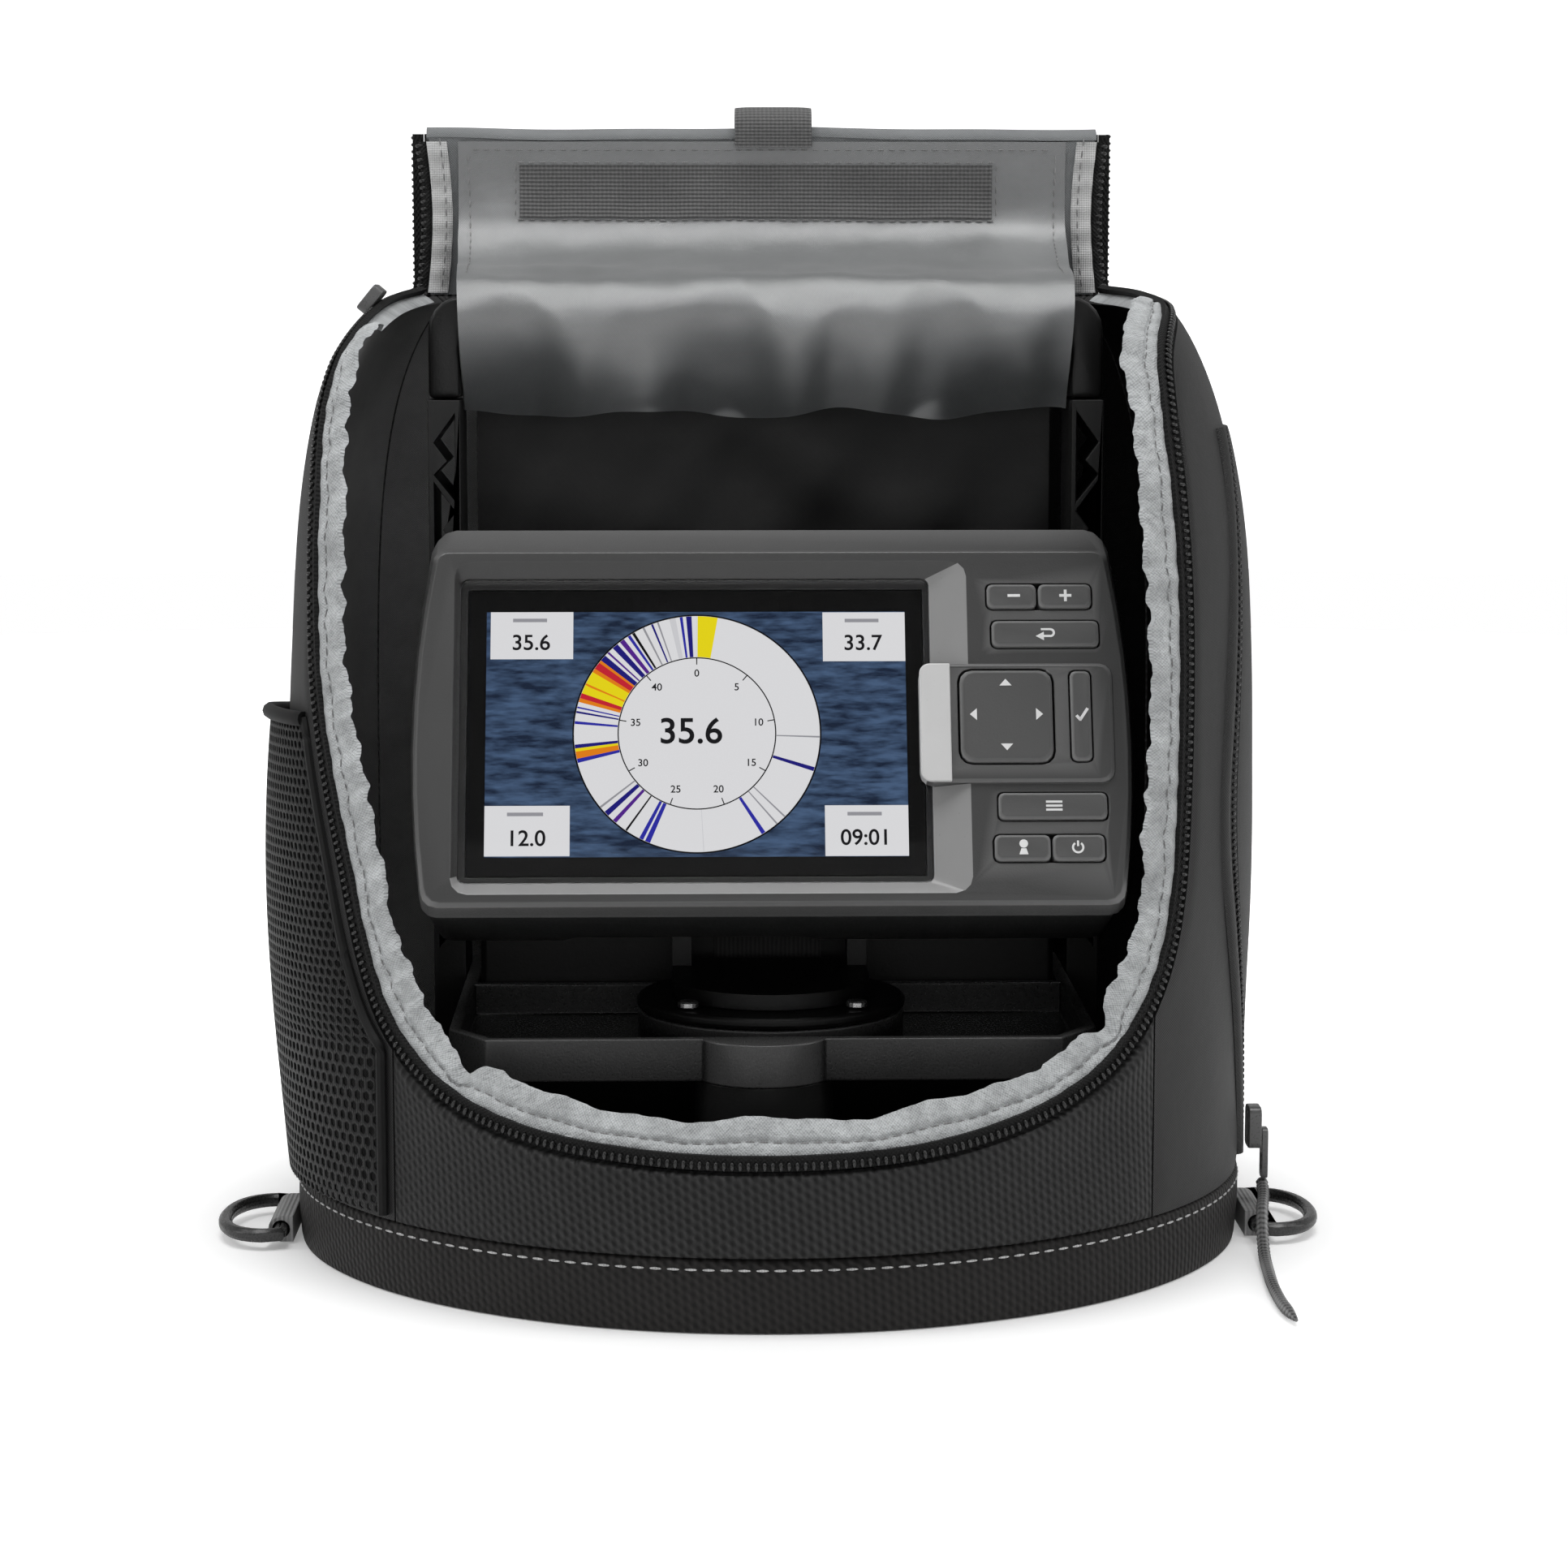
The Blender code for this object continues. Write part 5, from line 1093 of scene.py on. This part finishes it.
# %% [markdown]
# Rigid parts keep their engineered shape. Each visible one becomes a copy whose loose triangles
# are merged and whose edges are rounded by a small bevel, because a moulded edge is never
# sharp and it is the rounded edge that catches the light.

# %% Rounded copies of the rigid parts
def finished_copy(node, finish, edge=0.35, segments=2, angle=32):
    """Copy of a frame piece, merged, flat faces joined, bevelled at its sharp edges."""
    source = frame["nodes"][node]
    shaped = bmesh.new()
    shaped.from_mesh(source.data)
    bmesh.ops.remove_doubles(shaped, verts=shaped.verts, dist=2e-6)
    bmesh.ops.dissolve_limit(shaped, angle_limit=math.radians(1.0), verts=shaped.verts, edges=shaped.edges)
    mesh = bpy.data.meshes.new(node + "_finished")
    shaped.to_mesh(mesh)
    shaped.free()
    mesh.attributes.remove(mesh.attributes["custom_normal"]) if "custom_normal" in mesh.attributes else None
    mesh.materials.clear()
    mesh.materials.append(finish)
    mesh.shade_smooth()
    mesh.set_sharp_from_angle(angle=math.radians(angle))
    made = bpy.data.objects.new(node + "_finished", mesh)
    bpy.context.scene.collection.objects.link(made)
    rounding = made.modifiers.new("rounded_edges", "BEVEL")
    rounding.width = edge * MM
    rounding.segments = segments
    rounding.limit_method = "ANGLE"
    rounding.angle_limit = math.radians(angle)
    rounding.harden_normals = True
    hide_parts(node)
    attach(made, source["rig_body"])
    return made


RIGID = {
    "frame_nylon": (frame_nylon, 0.4, ["base_tray", "left_upright", "right_upright", "carry_handle", "front_post"]),
    "mount_nylon": (mount_nylon, 0.4, ["swivel_base", "yoke", "tilt_knob", "cradle", "release_latch"]),
    "shelf_nylon": (shelf_nylon, 0.5, ["mount_shelf"]),
    "ring_plastic": (ring_plastic, 0.4, ["d_ring_left", "d_ring_right"]),
    "painted_metal": (painted_metal, 0.4, ["main_zipper_slider", "side_zipper_slider", "side_zipper_pull"]),
    "battery_plastic": (battery_plastic, 0.8, ["battery_case", "battery_cover"]),
    "unit_back": (unit_back, 0.6, ["rear_housing"]),
    "key_rubber": (key_rubber, 0.4, ["minus_key", "plus_key", "back_key", "select_key", "menu_key", "mark_key",
                                     "power_key", "dpad"]),
}
finished = {}
for finish, width, nodes in RIGID.values():
    for node in nodes:
        finished[node] = finished_copy(node, finish, width)
print("rounded copies:", len(finished))

# %% [markdown]
# Small and hidden parts keep the frame's own mesh and only need a finish: the bag's floor,
# screws, pin, terminals, the boards inside the display, and the webbing tabs of the rings.

# %% Finishes for carried-over parts
def metal(name, tone, rough):
    made = plastic(name, tone, rough, 0.0004, 0.00001)
    made.node_tree.nodes["Principled BSDF"].inputs["Metallic"].default_value = 1.0
    return made


tab_webbing = cloth("tab_webbing", 0.20, 0.36, 0.0016, math.radians(45), 0.75, 0.1, 0.0004, 0.2, mapped=False)
floor_cloth = cloth("floor_cloth", 0.004, 0.008, 0.0010, 0.0, 0.6, 0.05, 0.0001, mapped=False)
strap_cloth = cloth("strap_cloth", 0.02, 0.05, 0.0016, math.radians(45), 0.7, 0.1, 0.0003, mapped=False)
bright_steel = metal("bright_steel", 0.5, 0.3)
board_green = plastic("board_green", 0.05, 0.5)
membrane = plastic("membrane", 0.03, 0.6)
CARRIED = {floor_cloth: ["bag_bottom_panel"], tab_webbing: ["d_ring_tab_left", "d_ring_tab_right"],
           strap_cloth: ["battery_strap"], bright_steel: ["swivel_screw_left", "swivel_screw_right", "tilt_pin",
                                                          "battery_terminal_negative", "battery_terminal_positive"],
           board_green: ["circuit_board"], membrane: ["keypad_membrane", "dpad_pivot"], unit_back: ["power_socket"]}
for finish, nodes in CARRIED.items():
    for node in nodes:
        paint_node(node, finish)
print("carried-over parts:", sum(len(nodes) for nodes in CARRIED.values()))

# %% [markdown]
# The display leans back. Positions on its face are easier in its own axes: u to the right, v up
# the face and w out of it. The bezel is one moulding, so its copy gets two more finishes, given to
# faces by where they lie and which way they point: sloped seat faces that point up or left get a
# lighter tone, a painted highlight, and the left end of the key block gets a pale tone, a painted
# highlight in place of the light on that chamfer.

# %% Display face: its own axes and the bezel's painted highlights
LEAN = math.radians(23.0)
FACE_CENTRE = np.array([0.0, -42.0, 137.0])
FACE_UP = np.array([0.0, math.sin(LEAN), math.cos(LEAN)])
FACE_OUT = np.array([0.0, -math.cos(LEAN), math.sin(LEAN)])


def on_face(u, v, w):
    u, v, w = np.broadcast_arrays(np.asarray(u, float), v, w)
    return FACE_CENTRE + u[..., None] * [1.0, 0, 0] + v[..., None] * FACE_UP + w[..., None] * FACE_OUT


bezel = finished_copy("front_bezel", unit_shell, 0.5, 3, 28)
bezel.data.materials.append(slope_highlight)
bezel.data.materials.append(chamfer_highlight)
count = len(bezel.data.polygons)
middle, way = np.empty(count * 3), np.empty(count * 3)
bezel.data.polygons.foreach_get("center", middle)
bezel.data.polygons.foreach_get("normal", way)
middle, way = middle.reshape(-1, 3) * 1000 - FACE_CENTRE, way.reshape(-1, 3)
u, v, w = middle[:, 0], middle @ FACE_UP, middle @ FACE_OUT
tilt_right, tilt_up, facing_out = way[:, 0], way @ FACE_UP, way @ FACE_OUT
slope = (np.abs(u + 15) < 64) & (np.abs(v) < 43) & (w < -0.3) & (w > -5.0) & (facing_out > 0.2) & (facing_out < 0.98)
paint = np.zeros(count, np.int32)
# Painted highlight: sloped seat faces pointing up or left take the lighter finish.
paint[slope & ((tilt_right < -0.15) | (tilt_up > 0.15))] = 1
# Painted highlight: the left end of the key block takes the pale finish.
paint[(u > 34) & (u < 37.5) & (np.abs(v - 0.15) < 16.5) & (w > -4)] = 2
bezel.data.polygons.foreach_set("material_index", paint)
print("bezel faces: sloped", int((paint == 1).sum()), "silver", int((paint == 2).sum()))

# %% [markdown]
# The glass is clear and covers the whole seat; behind it lies the panel with a black border and
# the lit picture. The picture is printed matter made of thin flat shapes: rippled water, a round
# depth dial with coloured echoes, four number boxes and their figures.

# %% Glass, panel and the lit picture
def glow(name):
    made, tree, shader = start_material(name, 0.6)
    shader.inputs["Base Color"].default_value = (0, 0, 0, 1)
    shader.inputs["Specular IOR Level"].default_value = 0.0
    shader.inputs["Emission Strength"].default_value = 1.0
    return made, tree, shader


def screen_glass():
    made, tree, shader = start_material("screen_glass", 0.03)
    smudge = use_effect(tree, fade_effect, Vector=tree.nodes.new("ShaderNodeTexCoord").outputs["Object"], Size=0.02)
    gloss = calc(tree, "MULTIPLY_ADD", smudge["Tone"], 0.05)
    tree.nodes[-1].inputs[2].default_value = 0.0
    wire(tree, shader.inputs["Roughness"], gloss)
    shader.inputs["Transmission Weight"].default_value = 1.0
    shader.inputs["IOR"].default_value = 1.25
    return made


def screen_ink():
    made, tree, shader = glow("screen_ink")
    ink = tree.nodes.new("ShaderNodeAttribute")
    ink.attribute_name = "ink"
    wire(tree, shader.inputs["Emission Color"], ink.outputs["Color"])
    return made


def screen_water():
    """Ripples: noise stretched along the water, with finer wind marks over it."""
    made, tree, shader = glow("screen_water")
    place = tree.nodes.new("ShaderNodeTexCoord").outputs["Object"]
    total = None
    for stretch, size, weight in (((90, 300, 500), 1.0, 0.65), ((260, 700, 1200), 1.0, 0.35)):
        across = tree.nodes.new("ShaderNodeMapping")
        across.inputs["Scale"].default_value = stretch
        wire(tree, across.inputs["Vector"], place)
        noise = tree.nodes.new("ShaderNodeTexNoise")
        noise.inputs["Scale"].default_value = size
        noise.inputs["Detail"].default_value = 3.0
        wire(tree, noise.inputs["Vector"], across.outputs[0])
        part = calc(tree, "MULTIPLY", noise.outputs[0], weight)
        total = part if total is None else calc(tree, "ADD", total, part)
    span = calc(tree, "MULTIPLY", calc(tree, "SUBTRACT", total, 0.38), 4.0)
    tree.nodes[-1].use_clamp = True
    wire(tree, shader.inputs["Emission Color"], blend_colours(tree, span, (0.012, 0.022, 0.05, 1), (0.075, 0.13, 0.24, 1)))
    return made


def flat_shapes(name, shapes, finish, body, w, depth=0.04):
    """Thin solids from (outline, colour) in face axes; the colour is kept as the ink attribute."""
    points, faces, inks = [], [], []
    for outline, ink in shapes:
        outline = np.asarray(outline, float)
        n, first = len(outline), len(points)
        points += on_face(outline[:, 0], outline[:, 1], w).tolist()
        points += on_face(outline[:, 0], outline[:, 1], w - depth).tolist()
        k = np.arange(n)
        faces += [list(range(first, first + n)), list(range(first + 2 * n - 1, first + n - 1, -1))]
        faces += (np.stack([k + n, (k + 1) % n + n, (k + 1) % n, k], 1) + first).tolist()
        inks += [(*ink, 1.0)] * (2 * n)
    made = put_mesh(name, points, faces, finish)
    colours = made.data.color_attributes.new("ink", "FLOAT_COLOR", "POINT")
    colours.data.foreach_set("color", np.asarray(inks, np.float32).ravel())
    face_outwards(made, 20, merge=False)
    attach(made, body)
    return made


def box_outline(left, right, bottom, top):
    return [(left, bottom), (right, bottom), (right, top), (left, top)]


def dial_sector(centre, near, far, start, end):
    """Ring sector: out along the far arc and back along the near one; degrees from the top."""
    a = np.radians(np.linspace(start, end, max(2, int(abs(end - start) / 3) + 2)))
    arcs = [np.stack([centre[0] + r * np.sin(a), centre[1] + r * np.cos(a)], 1) for r in (far, near)]
    return np.vstack([arcs[0], arcs[1][::-1]])


panel = np.array([v.co for v in frame["nodes"]["lcd_panel"].data.vertices]) * 1000 - FACE_CENTRE
PANEL_FRONT = float((panel @ FACE_OUT).max())
paint_node("display_glass", screen_glass())
paint_node("lcd_panel", plastic("panel_border", 0.004, 0.6, spec=0.1))
WHITE, PALE, BLACK = (0.86, 0.86, 0.88), (0.72, 0.72, 0.75), (0.004, 0.004, 0.005)
NAVY, BLUE, PURPLE = (0.015, 0.012, 0.22), (0.03, 0.03, 0.42), (0.10, 0.02, 0.30)
YELLOW, ORANGE, RED, GREY = (0.95, 0.80, 0.01), (0.90, 0.25, 0.01), (0.65, 0.02, 0.04), (0.35, 0.35, 0.38)
DIAL = (-18.5, -0.6)
water = flat_shapes("screen_water_picture", [(box_outline(-70.4, 33.1, -32.0, 30.7), NAVY)], screen_water(), "unit",
                    PANEL_FRONT + 0.08)
boxes = [(-69.4, -49.0, 18.5, 30.7), (12.7, 33.1, 17.8, 30.5), (-70.4, -49.6, -31.7, -19.0), (12.7, 33.1, -31.9, -19.1)]
shapes = [(box_outline(*b), WHITE) for b in boxes]
shapes += [(dial_sector(DIAL, 19.5, 30.2, 0.01, 180), WHITE), (dial_sector(DIAL, 19.5, 30.2, 180, 359.99), WHITE)]
shapes += [(dial_sector(DIAL, 0.01, 19.2, 0, 180), WHITE), (dial_sector(DIAL, 0.01, 19.2, 180, 360), WHITE)]
shapes += [(dial_sector(DIAL, near, far, a, a + 180), BLACK) for near, far in ((19.2, 19.5), (30.2, 30.6)) for a in (0, 180)]
plates = flat_shapes("screen_plates", shapes, screen_ink(), "unit", PANEL_FRONT + 0.13)
ECHOES = [(0.5, 10, YELLOW), (91.6, 92.4, GREY), (107, 109, NAVY), (134.5, 135.3, GREY), (139.5, 140.3, GREY),
          (146.6, 148.6, BLUE), (176.8, 177.2, PALE), (202.5, 205, BLUE), (206, 208, BLUE), (214.6, 215.6, BLACK),
          (221, 223, PURPLE), (226, 228.6, NAVY), (231, 232, GREY), (255.5, 257.5, BLUE), (257.5, 261, ORANGE),
          (261, 262.6, YELLOW), (262.6, 264.5, NAVY), (274.6, 276, BLUE), (280, 281, NAVY), (282.4, 283.2, BLUE),
          (285.5, 287.5, ORANGE), (287.5, 290, RED), (290, 301.5, YELLOW), (294, 295.2, ORANGE), (301.5, 303.5, ORANGE),
          (303.5, 307, RED), (307, 308.4, ORANGE), (308.4, 311.5, NAVY), (313, 314, PURPLE), (316.5, 319.5, NAVY),
          (321, 323.4, PURPLE), (325.5, 327, BLUE), (328, 329.4, BLACK), (333.6, 334.6, GREY), (338, 339, NAVY),
          (341, 341.8, GREY), (347, 350, PALE), (352, 353.4, BLUE), (355, 357.6, NAVY)]
marks = [(dial_sector(DIAL, 19.55, 30.15, a, b), ink) for a, b, ink in ECHOES]
marks += [(dial_sector(DIAL, 17.6, 19.2, a - 0.4, a + 0.4), BLACK) for a in range(0, 360, 40)]
marks += [(box_outline(left + 5.5, right - 6.5, top - 2.6, top - 1.7), GREY) for left, right, bottom, top in boxes]
echoes = flat_shapes("screen_echoes", marks, plates.data.materials[0], "unit", PANEL_FRONT + 0.17)
print("picture shapes:", len(shapes) + len(marks))

# %% [markdown]
# The raised block of keys ends in a chamfer on its left, where a pale cap paints the highlight
# that light makes there. The cap is a thin shell over the moulding: an outline with two round
# corners, carried forward a little and bevelled.

# %% Pale cap of the key block, a painted highlight
def key_block_cap():
    corner = np.radians(np.linspace(90, 180, 9))
    upper = np.stack([38.6 + 2.6 * np.cos(corner), 12.6 + 2.6 * np.sin(corner)], 1)
    lower = upper[::-1] * [1, -1] + [0, 0.3]
    outline = np.vstack([[[43.6, 15.2]], upper, lower, [[43.6, -14.9]]])
    # The cap's pale finish is a painted highlight in place of the light on the chamfer.
    made = flat_shapes("key_block_cap", [(outline, PALE)], chamfer_highlight, "unit", 1.65, 1.0)
    rounding = made.modifiers.new("rounded_edges", "BEVEL")
    rounding.width, rounding.segments = 0.35 * MM, 3
    rounding.limit_method, rounding.angle_limit = "ANGLE", math.radians(40)
    return made


block_cap = key_block_cap()
print("cap faces:", len(block_cap.data.polygons))

# %% [markdown]
# Figures are set with Blender's own typeface, made into a mesh, and moved onto the picture. Only
# plain numbers are shown: a depth, a temperature, a voltage, a time and the dial's scale.

# %% Figures on the picture
def figures(name, items, ink, finish, body, w):
    """Every (text, size, u, v) as one flat mesh in face axes."""
    all_points, all_faces = [], []
    for text, size, u, v in items:
        curve = bpy.data.curves.new("figures", "FONT")
        curve.body, curve.size = text, size
        curve.align_x, curve.align_y = "CENTER", "CENTER"
        curve.offset = 0.012 * size
        holder = bpy.data.objects.new("figures", curve)
        bpy.context.scene.collection.objects.link(holder)
        bpy.context.view_layer.update()
        flat = bpy.data.meshes.new_from_object(holder.evaluated_get(bpy.context.evaluated_depsgraph_get()))
        place = np.empty(len(flat.vertices) * 3)
        flat.vertices.foreach_get("co", place)
        place = place.reshape(-1, 3)
        first = len(all_points)
        all_points += on_face(place[:, 0] + u, place[:, 1] + v, w).tolist()
        all_faces += [[first + k for k in p.vertices] for p in flat.polygons]
        bpy.data.objects.remove(holder)
    made = put_mesh(name, all_points, all_faces, finish)
    colours = made.data.color_attributes.new("ink", "FLOAT_COLOR", "POINT")
    colours.data.foreach_set("color", np.tile((*ink, 1.0), len(all_points)).astype(np.float32))
    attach(made, body)
    return made


texts = [("35.6", 9.2, -20.0, -0.4), ("35.6", 5.6, -59.4, 22.6), ("33.7", 5.6, 22.6, 22.4),
         ("12.0", 5.6, -60.2, -27.4), ("09:01", 5.6, 22.6, -27.4)]
texts += [(str(k * 5), 2.6, DIAL[0] + 15.3 * math.sin(math.radians(40 * k)), DIAL[1] + 15.3 * math.cos(math.radians(40 * k)))
          for k in range(9)]
numbers = figures("screen_figures", texts, (0.01, 0.01, 0.012), plates.data.materials[0], "unit", PANEL_FRONT + 0.2)
print("figures:", len(texts))

# %% [markdown]
# Each key carries a pale printed sign. The signs are flat outlines a tenth of a millimetre
# thick, set just above the key's crown, and each one rides on its own key so that it goes down
# with it.

# %% Signs on the keys
def round_outline(u, v, radius, steps=20):
    a = np.linspace(0, 2 * np.pi, steps, endpoint=False)
    return np.stack([u + radius * np.cos(a), v + radius * np.sin(a)], 1)


def bar(u1, v1, u2, v2, thick):
    """Straight bar between two points: its outline is the run offset to both sides."""
    run = np.array([u2 - u1, v2 - v1], float)
    off = np.array([-run[1], run[0]]) / np.linalg.norm(run) * thick / 2
    a, b = np.array([u1, v1]), np.array([u2, v2])
    return [a + off, a - off, b - off, b + off]


sign_paint = plastic("sign_paint", 0.72, 0.45, 0.0004, 0.000005)
SIGNS = {
    "minus_key": (1.0, [bar(58.3, 32.8, 61.4, 32.8, 0.7)]),
    "plus_key": (1.0, [bar(71.1, 32.8, 74.1, 32.8, 0.7), bar(72.6, 33.15, 72.6, 34.3, 0.7), bar(72.6, 31.3, 72.6, 32.45, 0.7)]),
    "back_key": (1.0, [[(65.0, 22.3), (67.0, 21.2), (67.0, 23.4)], bar(67.0, 22.3, 68.6, 22.3, 0.55),
                       dial_sector((68.6, 23.15), 0.6, 1.15, 0, 180), bar(66.3, 24.05, 68.6, 24.05, 0.5)]),
    "select_key": (2.0, [bar(74.3, 1.6, 75.3, 0.4, 0.7), bar(75.1, 0.35, 77.1, 3.4, 0.7)]),
    "menu_key": (1.0, [bar(66.3, v, 70.3, v, 0.55) for v in (-20.0, -21.0, -22.0)]),
    "mark_key": (1.0, [round_outline(60.6, -30.5, 1.05), [(59.5, -33.2), (61.7, -33.2), (61.2, -31.7), (60.0, -31.7)]]),
    "power_key": (1.0, [dial_sector((73.8, -31.5), 1.0, 1.5, 35, 325), bar(73.8, -31.2, 73.8, -29.8, 0.5)]),
    "dpad": (2.2, [[(55.6, 9.2), (58.6, 9.2), (57.1, 10.9)], [(55.6, -5.6), (57.1, -7.3), (58.6, -5.6)],
                   [(49.9, 0.4), (49.9, 3.4), (48.2, 1.9)], [(64.4, 0.4), (66.1, 1.9), (64.4, 3.4)]]),
}
for node, (crown, outlines) in SIGNS.items():
    sign = flat_shapes(node + "_sign", [(o, WHITE) for o in outlines], sign_paint,
                       frame["nodes"][node]["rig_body"], crown + 0.10, 0.14)
print("signs:", len(SIGNS))

# %% [markdown]
# The studio is a wide pale dish: a floor that curves up all round, so that it has no horizon from
# any side. Seen from the camera it glows white, and near the bag the glow fades out as a painted
# contact shadow. Large soft lights stand above, in front and at both sides.

# %% Studio
def studio_dish():
    """Turned profile: flat to 2.4 m, then a quarter round up to a wall."""
    bend = np.linspace(0, np.pi / 2, 14)
    radius = np.concatenate([[0.001, 0.5, 1.2, 2.4], 2.4 + 0.9 * np.sin(bend), [3.3]]) * 1000
    height = np.concatenate([[0, 0, 0, 0], 0.9 - 0.9 * np.cos(bend), [2.6]]) * 1000
    turn = np.linspace(0, 2 * np.pi, 96, endpoint=False)
    points = np.stack([radius[:, None] * np.cos(turn), radius[:, None] * np.sin(turn), height[:, None] + 0 * turn], -1)
    made, tree, shader = start_material("studio_paper", 0.9)
    shader.inputs["Base Color"].default_value = (0.86, 0.86, 0.86, 1)
    shader.inputs["Specular IOR Level"].default_value = 0.1
    place = tree.nodes.new("ShaderNodeTexCoord").outputs["Object"]
    far = tree.nodes.new("ShaderNodeVectorMath")
    far.operation = "LENGTH"
    wire(tree, far.inputs[0], place)
    # Painted shadow: seen from the camera, the glow is nothing within 0.09 m of the centre and full beyond 0.24 m, a
    # contact shadow round the bag.
    glow_past_painted_shadow = tree.nodes.new("ShaderNodeMapRange")
    glow_past_painted_shadow.inputs["From Min"].default_value, glow_past_painted_shadow.inputs["From Max"].default_value = 0.09, 0.24
    wire(tree, glow_past_painted_shadow.inputs["Value"], far.outputs["Value"])
    camera_glow_with_shadow = blend_colours(tree, glow_past_painted_shadow.outputs[0], grey(0.0), grey(1.0))
    straight = tree.nodes.new("ShaderNodeLightPath").outputs["Is Camera Ray"]
    wire(tree, shader.inputs["Emission Color"], blend_colours(tree, straight, grey(0.12), camera_glow_with_shadow))
    shader.inputs["Emission Strength"].default_value = 1.0
    faces = grid_quads(len(radius), 96, wrap_columns=True)
    return put_mesh("studio_dish", points.reshape(-1, 3), faces.tolist(), made)


def soft_light(name, place, aim, size, power, tall=None):
    lamp = bpy.data.lights.new(name, "AREA")
    lamp.shape = "RECTANGLE"
    lamp.size, lamp.size_y = size, tall or size
    lamp.energy = power
    holder = bpy.data.objects.new(name, lamp)
    holder.location = place
    holder.rotation_euler = (Vector(aim) - Vector(place)).to_track_quat("-Z", "Y").to_euler()
    bpy.context.scene.collection.objects.link(holder)
    return holder


studio_dish()
soft_light("overhead", (0.0, -0.25, 1.7), (0, 0, 0.1), 1.5, 20, 0.8)
soft_light("front_fill", (0.0, -2.1, 0.30), (0, 0, 0.12), 1.9, 3.6, 0.55)
soft_light("left_edge", (-1.15, -0.15, 0.75), (0, 0, 0.15), 0.35, 3.6, 1.2)
soft_light("right_edge", (1.15, -0.15, 0.75), (0, 0, 0.15), 0.35, 3.6, 1.2)
world = bpy.data.worlds.new("studio_air")
world.use_nodes = True
world.node_tree.nodes["Background"].inputs["Color"].default_value = (1, 1, 1, 1)
world.node_tree.nodes["Background"].inputs["Strength"].default_value = 0.17
bpy.context.scene.world = world
bpy.context.scene.view_settings.view_transform = "Standard"
print("lights:", len(bpy.data.lights))
